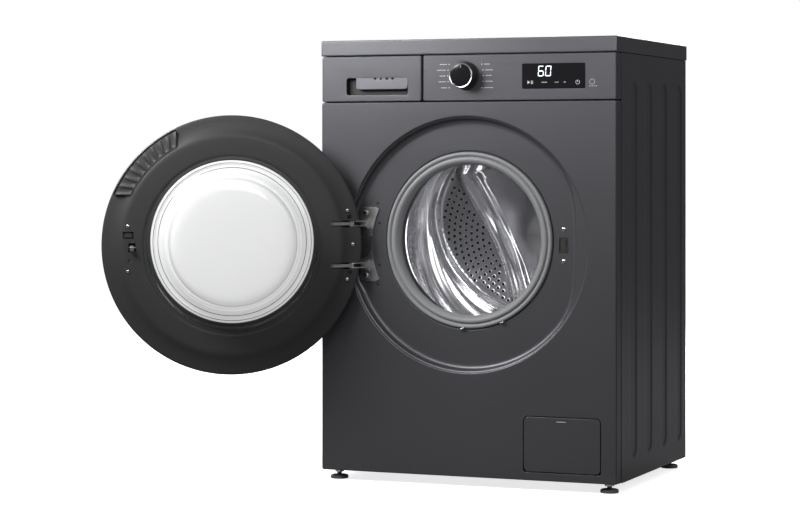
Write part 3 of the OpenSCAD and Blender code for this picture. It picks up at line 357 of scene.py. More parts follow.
fl = Shape()
fl.box((-14000, 14000), (-14000, 14000), (-20, 0))
me = bpy.data.meshes.new("floor")
me.from_pydata([(a * MM, b * MM, c * MM) for a, b, c in fl.v], [], fl.f)
floor = bpy.data.objects.new("floor", me)
sc.collection.objects.link(floor)
fm, fn, fl_, fb = material("floor")
fb.inputs["Base Color"].default_value = (0.86, 0.86, 0.86, 1)
fb.inputs["Roughness"].default_value = 0.9
fb.inputs["Emission Color"].default_value = (1, 1, 1, 1)
fb.inputs["Emission Strength"].default_value = 0.78
dim = fn.new("ShaderNodeBsdfDiffuse")
dim.inputs["Color"].default_value = (0.22, 0.22, 0.22, 1)
ray = fn.new("ShaderNodeLightPath")
both = fn.new("ShaderNodeMixShader")
fl_.new(ray.outputs["Is Camera Ray"], both.inputs["Fac"])
fl_.new(dim.outputs["BSDF"], both.inputs[1])
fl_.new(fb.outputs["BSDF"], both.inputs[2])
fl_.new(both.outputs["Shader"], fn["Material Output"].inputs["Surface"])
me.materials.append(fm)
floor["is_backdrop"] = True

world = bpy.data.worlds.new("studio")
sc.world = world
world.use_nodes = True
wn, wl = world.node_tree.nodes, world.node_tree.links
bg = wn["Background"]
co = wn.new("ShaderNodeTexCoord")
sep = wn.new("ShaderNodeSeparateXYZ")
wl.new(co.outputs["Generated"], sep.inputs["Vector"])
ramp = wn.new("ShaderNodeValToRGB")
mr = wn.new("ShaderNodeMapRange")
mr.inputs["From Min"].default_value = -0.3
mr.inputs["From Max"].default_value = 0.8
wl.new(sep.outputs["Z"], mr.inputs["Value"])
wl.new(mr.outputs["Result"], ramp.inputs["Fac"])
e = ramp.color_ramp.elements
e[0].position, e[0].color = 0.0, (0.03, 0.03, 0.03, 1)
e[1].position, e[1].color = 1.0, (0.5, 0.5, 0.51, 1)
e2 = ramp.color_ramp.elements.new(0.27)
e2.color = (0.13, 0.13, 0.135, 1)
e3 = ramp.color_ramp.elements.new(0.5)
e3.color = (0.15, 0.15, 0.155, 1)
white = wn.new("ShaderNodeBackground")
white.inputs["Color"].default_value = (1, 1, 1, 1)
white.inputs["Strength"].default_value = 1.0
lp = wn.new("ShaderNodeLightPath")
mixs = wn.new("ShaderNodeMixShader")
wl.new(ramp.outputs["Color"], bg.inputs["Color"])
wl.new(lp.outputs["Is Camera Ray"], mixs.inputs["Fac"])
wl.new(bg.outputs["Background"], mixs.inputs[1])
wl.new(white.outputs["Background"], mixs.inputs[2])
wl.new(mixs.outputs["Shader"], wn["World Output"].inputs["Surface"])
sc.view_settings.view_transform = "Standard"


def light(name, loc, target, size, power, size_y=None):
    d = bpy.data.lights.new(name, "AREA")
    d.shape = "RECTANGLE"
    d.size, d.size_y = size, size_y or size
    d.energy = power
    o = bpy.data.objects.new(name, d)
    sc.collection.objects.link(o)
    o.location = loc
    o.rotation_euler = (Vector(target) - Vector(loc)).to_track_quat("-Z", "Y").to_euler()
    o.visible_camera = False
    return o


light("key", (-0.8, -1.1, 1.25), (-0.2, -0.23, 0.75), 0.8, 28, 0.5)
light("broad", (-1.6, -3.4, 3.2), (0, -0.2, 0.5), 2.4, 7)
light("side", (2.6, -0.6, 1.9), (0.3, 0, 0.6), 1.4, 9)
light("back", (-0.6, 3.0, 2.4), (0, 0, 0.5), 2.0, 130)
light("left", (-3.0, 1.2, 1.6), (-0.3, 0, 0.4), 1.6, 45)
light("into_drum", (0.3, -1.3, 1.1), (-0.1, 0.15, 0.45), 0.45, 6, 0.45)
light("in_drum", (0.12, -0.1, 0.5), (-0.16, 0.12, 0.47), 0.1, 0.16, 0.2)

# ------------------------------------------------------------------ cabinet: sides, top, front
GY = (-128, -28, 73, 178)


def groove_depth(y, z):
    d = 1e9
    for gy in GY:
        zz = min(max(z, 80), 747)
        d = min(d, math.hypot(y - gy, z - zz) - 20)
    t = min(max((d + 2.2) / 4.4, 0), 1)
    return 2.2 * (1 - t * t * (3 - 2 * t))


s = Shape()
ys = [-203 + 433 * i / 160 for i in range(161)]
zs = ([19, 40] + [50 + 3.2 * i for i in range(15)] + [120 + 90 * i for i in range(7)]
      + [700 + 3.2 * i for i in range(24)] + [785, 817, 819.2])
for side in (-1, 1):
    rows = [s.loop([(side * (300 - groove_depth(y, z)), y, z) for y in ys]) for z in zs]
    s.skin(rows, closed=False)
    s.box(sorted((side * 278, side * 299.8)), (-203, -201.8), (54, 819.2))
    s.box(sorted((side * 268, side * 299.8)), (228.8, 230), (19, 819.2))
for y in ((-201.8, -183), (196, 225)):
    s.box((-298.8, 298.8), y, (816.8, 818))
for x in (-262, 262):
    s.box(sorted((x - 12, x + 36) if x > 0 else (x - 36, x + 12)), (63, 87), (796, 799))
s.make("cabinet_sides", [PAINT], "cabinet", "painted_dark", ["cabinet_wrap"], merge=False, sharp=40)

s = Shape()
s.box((-300, 300), (-230, 239), (820, 850))
s.make("top_cover", [PAINT_TOP], "cabinet", "painted_top", ["top_plate"], bevel=2.4, segments=4)

# Front panel with the recess that the door closes into
RC = 459.0
N = 288
angles = [2 * math.pi * i / N for i in range(N)]


def ring(r, flat, y, bump=0.0):
    pts = []
    for t in angles:
        c = math.cos(t)
        rr = r
        if c > 0 and flat:
            rr = min(r, flat / c)
            if abs(r - flat / c) < 30:
                rr = -12 * math.log(math.exp(-r / 12 + 20) + math.exp(-flat / c / 12 + 20)) + 240
            rr = min(rr, r, flat / c)
        d = abs(math.degrees(t) - 180)
        if d < 24:
            rr += bump * (1 - max(0, (d - 18) / 6)) if d > 18 else bump
        pts.append((rr * c, y, RC + rr * math.sin(t)))
    return pts


s = Shape()
fx0, fx1, fz0, fz1 = 117, 267, 36, 138.5  # filter flap
h_recess = [s.loop(ring(r, f, y, b)) for r, f, y, b in (
    (245.2, 0, F, 0), (243.8, 0, F + 0.35, 0), (243, 0, F + 1.4, 0), (242.6, 0, F + 3.6, 0),
    (241.6, 0, F + 4.4, 0), (240.6, 224, F + 4.6, 1), (239.8, 221.5, F + 5.2, 1.5), (239.2, 220.4, F + 7, 2),
    (238.4, 219.6, F + 11, 3), (237, 218.4, F + 14.5, 4), (234.6, 216.4, F + 16.8, 5),
    (231, 213.6, F + 17.8, 6),
    (227, 210, F + 18, 8))]
s.skin(h_recess)
gask = [s.loop([(r * math.cos(t), y, DRUM_Z + r * math.sin(t)) for t in angles])
        for r, y in ((171.4, F + 18), (170.2, F + 18.4), (169.6, F + 19.6), (169.5, F + 27))]
s.skin(gask)
lockh = [s.loop(at_y(rounded(180.8 + d, 199.2 - d, 444.6 + d, 474.4 - d, 3 - d), y))
         for d, y in ((0, F + 18), (0.5, F + 18.6), (0.5, F + 21))]
s.skin(lockh)
s.cap(h_recess[-1], [gask[0], lockh[0]])
flaph = []
for g, y in ((2.2, F), (1.7, F + 0.3), (1.5, F + 1), (1.5, F + 12)):
    round_top, tight_foot = (at_y(rounded(fx0 - g, fx1 + g, fz0 - g, fz1 + g, r + g), y) for r in (9, 3.5))
    flaph.append(s.loop([a if a[2] > (fz0 + fz1) / 2 else b for a, b in zip(round_top, tight_foot)]))
s.skin(flaph)
backh = s.loop([(196 + 36 * math.cos(t), F + 12, 92 + 36 * math.sin(t)) for t in angles[::4]])
s.cap(flaph[-1], [backh])
panel((-299.2, 299.2), (19, 730.2), F, -203.6, 4.0, 4.4, [h_recess[0], flaph[0]], (1, 0.45), s)
s.make("front_panel_shell", [PAINT], "cabinet", "painted_dark", ["front_panel"], sharp=50)

# ------------------------------------------------------------------ control panel and drawer
KX, KZ = 0.0, 779.0
s = Shape()
kh = [s.loop([(KX + r * math.cos(t), y, KZ + r * math.sin(t)) for t in angles[::3]])
      for r, y in ((29.0, F), (28.4, F + 0.3), (28.2, F + 1.2), (6.4, F + 1.2), (6.4, F + 12))]
s.skin(kh)
dh = [s.loop(at_y(rounded(113.4 + d, 238.6 - d, 752.4 + d, 800.6 - d, 2.2 - d), y)) for d, y in
      ((0, F), (0.4, F + 0.3), (0.5, F + 2))]
s.skin(dh)
s.cap(dh[-1])
panel((-87.6, 299.2), (731.4, 819.2), F, -203.6, 4.0, 4.2, [kh[0], dh[0]], (1, 0.4), s)
s.make("fascia", [PAINT], "cabinet", "painted_dark", ["control_panel"], sharp=50)
s = Shape()
s.box((-299.2, -88), (-214, -211), (731, 741.5))
s.box((-299.2, -88), (-214, -211), (809.5, 819.2))
s.box((-299.2, -285.5), (-214, -211), (741.5, 809.5))
s.box((-102.5, -88), (-214, -211), (741.5, 809.5))
s.box((-299.2, -296.6), (-211, -203.6), (731, 819.2))
s.make("drawer_frame", [PLASTIC], "cabinet", "painted_dark", bevel=0.4)

s = Shape()
ph = [s.loop(at_y(rounded(-246 + d, -118 - d, 744 + d, 777 - d, 5 - d), y))
      for d, y in ((-0.8, F), (-0.2, F + 0.25), (0, F + 1))]
s.skin(ph)
# The pocket's walls and floor use the near-black hole colour: painted shade in the grip recess.
inner = [ph[-1]] + [s.loop(at_y(rounded(-246 + d, -118 - d, 744 + d, 777 - d, 5 - d), y))
                    for d, y in ((0.4, F + 11), (1.6, F + 12.6))]
s.skin(inner, mat=1)
s.cap(inner[-1], mat=1)
panel((-298.4, -89.6), (731.6, 819), F, F + 14, 3.6, 4.0, [ph[0]], (1, 0.4), s)
s.make("drawer_face", [PAINT, HOLE_SHADE], "drawer", "painted_dark", ["drawer_front"], sharp=50)

# Grip bar with four small notches in its top edge
s = Shape()
top = []
for k in range(4):
    x0 = -186 + 12 * k
    top += [(x0 - 3, 777.2), (x0 - 1.6, 773.6), (x0 + 1.6, 773.6), (x0 + 3, 777.2)]
outline = [(-118.6, 758.5), (-118.6, 777.2)] + top[::-1] + [(-226, 777.2), (-226, 757.5), (-221, 755.2),
                                                            (-122, 755.2)]
ls = [s.loop(at_y(outline, y)) for y in (F + 0.4, F + 6.6)]
s.bridge(*ls)
s.cap(ls[0])
s.cap(ls[1])
s.make("drawer_grip", [GRIP], "drawer", "painted_dark", bevel=0.5)

# Knob: gloss face, thin bright ring, finely ribbed skirt
s = Shape()
kr = 24.5
y0 = F + 0.6
prof = [(27, y0 + 0.2), (26.8, y0 - 1.6), (25.2, y0 - 3), (kr, y0 - 3.8)]
s.turn(prof, KZ, KX, 96, mat=0)
seg = 192
side = [s.loop([(KX + (r + (0.22 if i % 2 else -0.1) * w) * math.cos(2 * math.pi * i / seg), y,
                 KZ + (r + (0.22 if i % 2 else -0.1) * w) * math.sin(2 * math.pi * i / seg))
                for i in range(seg)])
        for r, y, w in ((kr, y0 - 3.8, 0), (kr, y0 - 4.6, 1), (kr - 0.9, y0 - 23.4, 1), (kr - 1, y0 - 24, 0),
                        (kr - 1.2, y0 - 25.2, 0))]
s.skin(side, 0)
s.turn([(kr - 1.2, y0 - 25.2), (kr - 1.1, y0 - 26.4), (kr - 1.9, y0 - 27.3), (kr - 2.9, y0 - 27.0),
        (kr - 3.2, y0 - 26.2)], KZ, KX, 96, mat=1)
s.turn([(kr - 3.2, y0 - 26.2), (kr - 4.4, y0 - 26.6), (12, y0 - 27.0), (0, y0 - 27.2)], KZ, KX, 96, mat=2)
s.turn([(6, y0 + 13), (6, y0 - 1)], KZ, KX, 24, mat=0)
s.box((KX - 0.5, KX + 0.5), (y0 - 27.3, y0 - 26.5), (KZ + 14, KZ + 19.5), 1)
s.make("knob", [PLASTIC_IN, CHROME, GLOSS], "knob", "black_gloss", ["program_knob"], sharp=40)

# Display glass with plain digits and marks
s = Shape()
panel((114, 238), (753, 800), F - 0.3, F + 1.4, 0.5, 1.8, (), (1, 1), s)
s.make("display_glass", [GLOSS], "cabinet", "black_gloss", ["display_window"])
SEGS = {"a": ((-4, 4), (8.2, 9.8)), "g": ((-4, 4), (-0.8, 0.8)), "d": ((-4, 4), (-9.8, -8.2)),
        "f": ((-5.6, -4.1), (1, 9)), "b": ((4.1, 5.6), (1, 9)), "e": ((-5.6, -4.1), (-9, -1)),
        "c": ((4.1, 5.6), (-9, -1))}
s = Shape()
for cx, on in ((151.2, "acdefg"), (165.6, "abcdef")):
    for k in on:
        (a, b), (c, d) = SEGS[k]
        lean = 0.08
        i = s.loop([(cx + a + lean * c, F - 0.42, 785.8 + c), (cx + b + lean * c, F - 0.42, 785.8 + c),
                    (cx + b + lean * d, F - 0.42, 785.8 + d), (cx + a + lean * d, F - 0.42, 785.8 + d)])
        j = s.loop([(s.v[q][0], F - 0.3, s.v[q][2]) for q in i])
        s.bridge(i, j)
        s.face(i)
for x0, x1, z0, z1 in ((131.6, 132.8, 762, 768), (134.4, 135.6, 762, 768), (152, 163, 764.2, 765.2),
                       (178, 186, 764.2, 765.2), (196, 200, 764.2, 765.2)):
    s.box((x0, x1), (F - 0.42, F - 0.3), (z0, z1), 1)
i = s.loop([(124.5, F - 0.42, 761.8), (129.6, F - 0.42, 765), (124.5, F - 0.42, 768.2)])
s.face(i, 1)
arc = [math.radians(a) for a in range(125, 416, 12)]
o1 = s.loop([(223.4 + 4.2 * math.cos(t), F - 0.42, 764.6 + 4.2 * math.sin(t)) for t in arc])
o2 = s.loop([(223.4 + 3.3 * math.cos(t), F - 0.42, 764.6 + 3.3 * math.sin(t)) for t in arc])
s.bridge(o1, o2, 1, closed=False)
s.box((222.9, 223.9), (F - 0.42, F - 0.3), (765, 769.4), 1)
s.make("display_marks", [LED, MARK], "cabinet", "black_gloss", merge=False, flat_weight=False)

# Programme dots and plain dashes on the fascia
s = Shape()
for side, zz in ((-1, (801, 790, 779, 768, 756.5)), (1, (800.5, 789.5, 779, 768, 756))):
    for k, z in enumerate(zz):
        bulge = (0, 2.4, 3.2, 2.4, 0)[k]
        x = KX + side * (33 + bulge)
        s.turn([(1.15, F), (1.1, F - 0.12), (0, F - 0.13)], z, x, 16)
        length = (15, 19, 13, 17, 12)[(k + (side > 0) * 2) % 5]
        for q in range(int(length // 3)):
            a, b = sorted((x + side * (5 + 3 * q), x + side * (7.2 + 3 * q)))
            s.box((a, b), (F - 0.1, F + 0.1), (z - 0.7, z + 0.7))
for k in range(4):
    s.box((246 + 4.2 * k, 248.6 + 4.2 * k), (F - 0.1, F + 0.1), (756.4, 757.6))
s.turn([(5.2, F), (5.1, F - 0.1), (4.5, F - 0.1), (4.4, F)], 765, 251.5, 32)
s.make("panel_marks", [MARK], "cabinet", "painted_dark", merge=False, flat_weight=False)

# ------------------------------------------------------------------ filter flap
s, _ = panel((fx0, fx1), (fz0, fz1), F, F + 2.4, 0.9, 9)
back = s.loop(at_y(rounded(fx0, fx1, fz0, fz1, 9), F + 2.4))
s.cap(back)
for x in (139, 233):
    bar = [s.loop([(xx, F + 3 + r * math.cos(t), 39.5 + r * math.sin(t)) for t in angles[::24]])
           for xx, r in ((x - 2.4, 0.01), (x - 2.4, 1), (x, 1), (x, 2.2), (x + 12, 2.2), (x + 12, 1),
                         (x + 14.4, 1), (x + 14.4, 0.01))]
    s.skin(bar)
s.box((181.5, 200.5), (F - 0.25, F + 0.2), (130.4, 131.6), 1)
s.make("flap", [PAINT, MARK], "flap", "painted_dark", ["filter_flap"], sharp=50)

# ------------------------------------------------------------------ gasket
s = Shape()
g = [(167.9, -210.4), (167.8, -213.4), (167, -215.3), (165.2, -216.3), (163, -216.4), (160.8, -215.4),
     (159.5, -213.2), (158.6, -213.0), (157.8, -214.8), (156, -216.3), (153.4, -216.9), (150.6, -216.2),
     (147.6, -213.6), (145.2, -210), (143.6, -206.4), (143.2, -203.4), (144.2, -200.4), (146.2, -196),
     (147.6, -190), (148.6, -184), (150, -180), (153, -178), (156.6, -179), (158.4, -183), (160.4, -185.2),
     (160.4, -158), (163.2, -158), (163.2, -186), (161.4, -190), (157.6, -192), (155.4, -194.4),
     (156.6, -198),
     (160, -200.6), (164, -202.4), (167, -204.6), (167.9, -207)]
s.turn(g, DRUM_Z, 0, 192, closed=True)
s.turn([(150.2, -183), (151, -172), (154, -155), (157, -147.6), (158.5, -147.6), (155.5, -156), (152.5, -172),
        (152, -183)], DRUM_Z, 0, 192, closed=True, mat=1)
s.make("gasket_ring", [RUBBER, BLACK_RUBBER_AND_GAP_SHADE], "cabinet", "grey_rubber", ["gasket"], sharp=60,
       floats=((0, -0.2, DRUM_Z * MM), (0, -0.165, DRUM_Z * MM)))

s = Shape()
# A thin near-black ring closes the gap round the gasket: painted shadow for the dark gap line.
s.turn([(169.45, -209.5), (169.4, -211.4), (168.7, -211.9), (168.0, -211.4), (167.95, -209.5)],
       DRUM_Z, 0, 192,
       mat=1)
for a in (-94, -66):
    t = math.radians(a)
    cx, cz = 169 * math.cos(t), DRUM_Z + 169 * math.sin(t)
    s.box((cx - 4, cx + 2), (-218.8, -214.5), (cz - 1.6, cz + 1.2))
    s.box((cx + 1, cx + 4), (-218.2, -215), (cz - 0.5, cz + 3))
s.make("clamp_and_gap_shadow_ring", [CHROME, BLACK_RUBBER_AND_GAP_SHADE], "cabinet", "bright_steel", ["gasket_front_clamp"], bevel=0.3,
       merge=False)

# ------------------------------------------------------------------ drum
DR, DF, DB = 230.0, -145.0, 150.0  # radius, front and back
LIFTERS = (5, 125, 245)  # degrees
s = Shape()
s.turn([(158, DF + 6), (157, DF + 2.5), (158.4, DF), (161, DF - 0.6), (200, DF + 1), (222, DF + 4),
        (DR - 1, DF + 13), (DR, DF + 22), (DR, DF + 27), (DR - 2.2, DF + 29.5), (DR - 2.2, DF + 32),
        (DR, DF + 34.5)], DRUM_Z, 0, 160)
s.turn([(DR, DF + 34.5), (DR, DB - 62), (DR - 2.2, DB - 59.5), (DR - 2.2, DB - 56.5), (DR, DB - 54),
        (DR, DB - 42)], DRUM_Z, 0, 160)
s.make("drum_wall", [DENT], "drum", "drum_steel", ["drum_shell", "drum_front_ring"], sharp=40)


# Edges of one leaf of the drum's back, as (degrees, radius)
OUTER = [(126, 225), (140, 225), (152, 224), (166, 217), (182, 203), (202, 185), (226, 172), (245, 166),
         (262, 168)]
INNER = [(128, 221), (141, 200), (146, 163), (154, 126), (168, 93), (185, 77), (206, 72), (231, 83),
         (249, 114),
         (256, 141), (262, 160)]


def polar_curve(pts, turn, n=70):
    """A smooth line through polar points, turned by an angle."""
    xy = [(r * math.cos(math.radians(a + turn)), r * math.sin(math.radians(a + turn))) for a, r in pts]
    out = []
    m = len(xy)
    for k in range(m - 1):
        p0, p1, p2, p3 = xy[max(k - 1, 0)], xy[k], xy[k + 1], xy[min(k + 2, m - 1)]
        for q in range(n // (m - 1)):
            t = q / (n // (m - 1))
            out.append(tuple(0.5 * (2 * b + (c - a) * t + (2 * a - 5 * b + 4 * c - d) * t * t
                                    + (3 * b - a - 3 * c + d) * t ** 3)
                             for a, b, c, d in zip(p0, p1, p2, p3)))
    out.append(xy[-1])
    return out


curves = [(polar_curve(OUTER, k * 180), polar_curve(INNER, k * 180)) for k in range(2)]


def gap(p, line):
    """Distance from a point to a line of points."""
    best = 1e9
    for (ax, ay), (bx, by) in zip(line, line[1:]):
        dx, dy = bx - ax, by - ay
        t = max(0, min(1, ((p[0] - ax) * dx + (p[1] - ay) * dy) / (dx * dx + dy * dy + 1e-9)))
        best = min(best, math.hypot(p[0] - ax - t * dx, p[1] - ay - t * dy))
    return best


def inside(p, poly):
    """Whether a point lies inside a closed outline."""
    odd = False
    for (ax, ay), (bx, by) in zip(poly, poly[1:] + poly[:1]):
        if (ay > p[1]) != (by > p[1]) and p[0] < (bx - ax) * (p[1] - ay) / (by - ay) + ax:
            odd = not odd
    return odd


leaves = [o + i[::-1] for o, i in curves]


def relief(p):
    """How far the drum's back stands towards the front at a point."""
    r = math.hypot(*p)
    d_out = min(gap(p, c[0]) for c in curves)
    d_in = min(gap(p, c[1]) for c in curves)
    leaf = any(inside(p, q) for q in leaves)
    h = 10 * math.exp(-(d_out / 8.5) ** 2) + 9 * math.exp(-(d_in / 6) ** 2)
    if not leaf:
        h = max(h, 9 * math.exp(-(d_in / 16) ** 4),
                16 * math.exp(-((d_in - 30) / 10) ** 2) * min(1, max(0, (205 - r) / 40)))
    if not leaf:
        h = max(h, 5 + 9 * math.exp(-(r / 60) ** 2) if r < 150 else h)
    edge = min(1, max(0, (229 - r) / 9))
    return (h + (2 if leaf else 4)) * edge


BEND = 42.0


def back_point(p, lift=0.0):
    """A point of the drum's back: flat middle, edge turned up into the wall, raised by its relief."""
    r = math.hypot(*p)
    h = relief(p) + lift
    a = math.asin(max(0, min(1, (r - DR + BEND) / BEND)))
    y = DB - BEND + BEND * math.cos(a) - h * math.cos(a)
    k = (r - h * math.sin(a)) / max(r, 1e-6)
    return (p[0] * k, y, DRUM_Z + p[1] * k)


s = Shape()
rings = [3 + 185 * i / 66 for i in range(67)] + [DR - BEND + BEND * math.sin(math.pi / 2 * i / 20)
                                                 for i in range(1, 21)]
loops = []
for r in rings:
    loops.append(s.loop([back_point((r * math.cos(2 * math.pi * i / 240),
                                     r * math.sin(2 * math.pi * i / 240))) for i in range(240)]))
s.skin(loops)
s.face(loops[0])
back = s.make("drum_windmill", [STEEL, SATIN], "drum", "drum_steel", ["drum_back"], sharp=70)
for f in back.data.polygons:
    c = (f.center.x * 1000, f.center.z * 1000 - DRUM_Z)
    if math.hypot(*c) < 222 and any(inside(c, q) for q in leaves) \
            and min(gap(c, c0[0]) for c0 in curves) > 12 \
            and min(gap(c, c0[1]) for c0 in curves) > 8:
        f.material_index = 1


# Perforation: a turned-in bright lip at each place, with a near-black disc in the hole as painted shade
def pierce(s, p, nrm, u, v, r, seg=10, up=0.5):
    a = [s.loop([tuple(p[k] + nrm[k] * h + (u[k] * math.cos(t) + v[k] * math.sin(t)) * q for k in range(3))
                 for t in (2 * math.pi * i / seg for i in range(seg))])
         for h, q in ((-0.4, r * 1.5), (up, r * 1.3), (up - 0.2, r))]
    s.skin(a, 0)
    # Near-black disc closing the hole: painted shade.
    s.face(a[-1], 1)


s = Shape()
places = []
for row in range(16):
    rr = 219 - row * 12.5
    step = math.degrees(13.0 / rr)
    k = 0
    while 120 + (k + 0.5 * (row % 2)) * step < 270:
        a = math.radians(120 + (k + 0.5 * (row % 2)) * step)
        p = (rr * math.cos(a), rr * math.sin(a))
        if inside(p, leaves[0]) and gap(p, curves[0][0]) > 18 and gap(p, curves[0][1]) > 15:
            places.append(p)
        k += 1
for q in range(2):
    ca, sa = math.cos(math.pi * q), math.sin(math.pi * q)
    for px, py in places:
        x, z = px * ca - py * sa, px * sa + py * ca
        n0, n1 = back_point((x, z)), back_point((x, z), 1.0)
        nr = tuple(b - a for a, b in zip(n0, n1))
        u = Vector(nr).cross(Vector((0, 0, 1))).normalized()
        v = Vector(nr).cross(u).normalized()
        pierce(s, n0, nr, u, v, 3.1, 12, 1.0)
rows = 15
for row in range(rows):
    y = DF + 44 + row * (DB - DF - 116) / (rows - 1)
    for k in range(96):
        t = math.radians((k + 0.5 * (row % 2)) * 3.75)
        if min(abs((math.degrees(t) - c + 180) % 360 - 180) for c in LIFTERS) < 9.5:
            continue
        c, d = math.cos(t), math.sin(t)
        pierce(s, (DR * c, y, DRUM_Z + DR * d), (-c, 0, -d), (-d, 0, c), (0, 1, 0), 2.6, 8, 0.7)
s.make("drum_holes", [STEEL, HOLE_SHADE], "drum", "drum_steel", merge=False, flat_weight=False, sharp=60)

# Lifters: smooth waisted ridges along the wall
s = Shape()
for c in LIFTERS:
    rowsl = []
    for i in range(25):
        f = i / 24
        y = DF + 30 + f * (DB - DF - 56)
        tall = 42 * min(1, math.sin(math.pi * min(1, max(0, f))) ** 0.45 + 0.02)
        sec = []
        for j in range(17):
            w = -1 + j / 8
            hh = tall * (1 - abs(w) ** 2.1) ** 0.9 if abs(w) < 1 else 0
            half = 30 * (0.9 + 0.1 * math.cos(2 * math.pi * f))
            rad = DR - 0.6 - hh
            off = w * half * (0.55 + 0.45 * abs(w) ** 1.5)
            t = math.radians(c)
            sec.append((rad * math.cos(t) - off * math.sin(t), y,
                        DRUM_Z + rad * math.sin(t) + off * math.cos(t)))
        rowsl.append(s.loop(sec))
    s.skin(rowsl, closed=False)
s.make("drum_lifters", [STEEL], "drum", "drum_steel", ["lifters"], sharp=60)

# ------------------------------------------------------------------ door, drawn closed and swung open
BZ = DZ + 7
HINGE_Z = (DZ - 40.5, DZ + 40)
PX, PZ, PR = 107.0, DZ + 97, 215.0


def cutbox(x, y, z):
    c = Shape()
    c.box(x, y, z)
    return c


s = Shape()
s.turn([(162, -228), (162, -224), (168.5, -223.6), (170.2, -222.0), (172, -221.2), (175, -221), (203, -221),
        (208, -221.3),
        (212, -222.6), (216, -225.2), (221, -227.8), (230, -230.6), (238, -232), (244, -232.6),
        (246.6, -233.2),
        (247.8, -234.4), (248, -235.8), (247.2, -237.2), (244, -237.8), (232, -236.4), (214, -233),
        (200, -230)],
       DZ, 0, 240, closed=True)
inner = s.make("door_inner", [PLASTIC], "door", "dark_plastic", flat_weight=False)
# The grip pocket: an arc band between one upright and one level end
c = Shape()
N2 = 40
a0, a1 = math.asin((PZ - DZ) / 262), math.acos(PX / 262)
b0, b1 = math.asin((PZ - DZ) / PR), math.acos(PX / PR)
out = [(262 * math.cos(a0 + (a1 - a0) * k / N2), DZ + 262 * math.sin(a0 + (a1 - a0) * k / N2))
       for k in range(N2 + 1)]
inn = [(PR * math.cos(b0 + (b1 - b0) * k / N2), DZ + PR * math.sin(b0 + (b1 - b0) * k / N2))
       for k in range(N2 + 1)]
band = out + inn[::-1]
la, lb = c.loop(at_y(band, -241)), c.loop(at_y(band, -215))
c.bridge(la, lb)
c.cap(la)
c.cap(lb)
cuts = [c, cutbox((186.5, 207.5), (-226, -215), (469.5, 483)),
        cutbox((183.3, 196.7), (-236, -215), (DZ - 12, DZ + 4.5)),
        cutbox((194.6, 197.4), (-226, -215), (427, 429.8))]
for z in HINGE_Z:
    cuts.append(cutbox((-262, -189), (-262, -215), (z - 4.8, z + 4.8)))
    cuts.append(cutbox((-262, -211), (-262, -215), (z - 6.6, z + 6.6)))
for z in (DZ - 53, DZ + 53):
    cuts.append(cutbox((-228.5, -221), (-236, -215), (z - 3.6, z + 3.6)))
carve_closed(inner, cuts)
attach(inner, "door")
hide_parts("door_frame")

# Pocket floor, walls and ribs; bowl collar
s = Shape()
RI, RO = PR - 0.2, 243.0
n3 = 192
cols = []
for k in range(n3 + 1):
    f = k / n3
    wave = 0.5 + 0.5 * math.cos(2 * math.pi * f * 9)
    dip = 2.6 * wave ** 2
    row = []
    for r, y in ((RI, -222.4), (RI + 0.4, -229), (RI + 2.0, -234.6 + dip * 0.4), (RI + 6, -236.4 + dip),
                 (RI + 16, -237.6 + dip),
                 (RO - 3, -239.2 + dip * 0.5), (RO, -240)):
        lo, hi = math.asin((PZ - DZ - 0.3) / r), math.acos((PX - 0.3) / r)
        t = lo + (hi - lo) * f
        row.append((r * math.cos(t), y, DZ + r * math.sin(t)))
    cols.append(s.loop(row))
s.skin(cols, closed=False)
for k in (0, n3):
    i = cols[k]
    j = s.loop([(s.v[q][0], -222.2 - 0.25 * (idx * idx) * 0.3, s.v[q][2]) for idx, q in enumerate(i)])
    s.bridge(i, j, closed=False)
s.make("door_grip", [PLASTIC], "door", "dark_plastic", swing=True, merge=False, sharp=50, flat_weight=False)

# Raised lip that borders the pocket
s = Shape()
path = [(PX - 1.6, DZ + math.sqrt(238 ** 2 - PX ** 2))]
path += [(r_ * math.cos(t), DZ + r_ * math.sin(t)) for r_, t in
         ((PR - 1.6, b1 + (b0 - b1) * k / 30) for k in range(31))]
path += [(math.sqrt(238 ** 2 - (PZ - DZ) ** 2), PZ - 1.6)]
path[1] = (PX - 1.6, path[1][1])
path[-2] = (path[-2][0], PZ - 1.6)


def inner_y(r):
    pts = [(175, -221), (203, -221), (208, -221.3), (212, -222.6), (216, -225.2), (221, -227.8),
           (230, -230.6), (238, -232)]
    for (ra, ya), (rb, yb) in zip(pts, pts[1:]):
        if r <= rb:
            return ya + (yb - ya) * max(0, r - ra) / (rb - ra)
    return -232


rows = []
for k, (x, z) in enumerate(path):
    ax, az = path[max(k - 1, 0)]
    bx, bz = path[min(k + 1, len(path) - 1)]
    dx, dz = bx - ax, bz - az
    L = math.hypot(dx, dz) or 1
    nx, nz = -dz / L, dx / L
    y = inner_y(math.hypot(x, z - DZ))
    rows.append(s.loop([(x + nx * w, y + h, z + nz * w)
                        for w, h in ((-1.5, -1), (-1.2, 0.3), (-0.5, 0.75), (0.5, 0.75), (1.2, 0.3), (1.5, -1))]))
s.skin(rows, closed=False)
s.make("door_grip_lip", [PLASTIC], "door", "dark_plastic", swing=True, merge=False, sharp=60,
       flat_weight=False)

# Latch guide, screws and the collar round the bowl
s = Shape()
s.turn([(156.2, -240), (156.2, -223.2), (157.4, -222.4), (162.4, -222.8), (162.4, -240)], BZ, 0, 192)
s.make("bowl_collar", [PLASTIC_IN], "door", "dark_plastic", swing=True, flat_weight=False)
s = Shape()
s.box((186.8, 207.2), (-226.5, -225.6), (469.8, 482.7))
s.box((190, 204), (-225.7, -223.4), (472.2, 480.4))
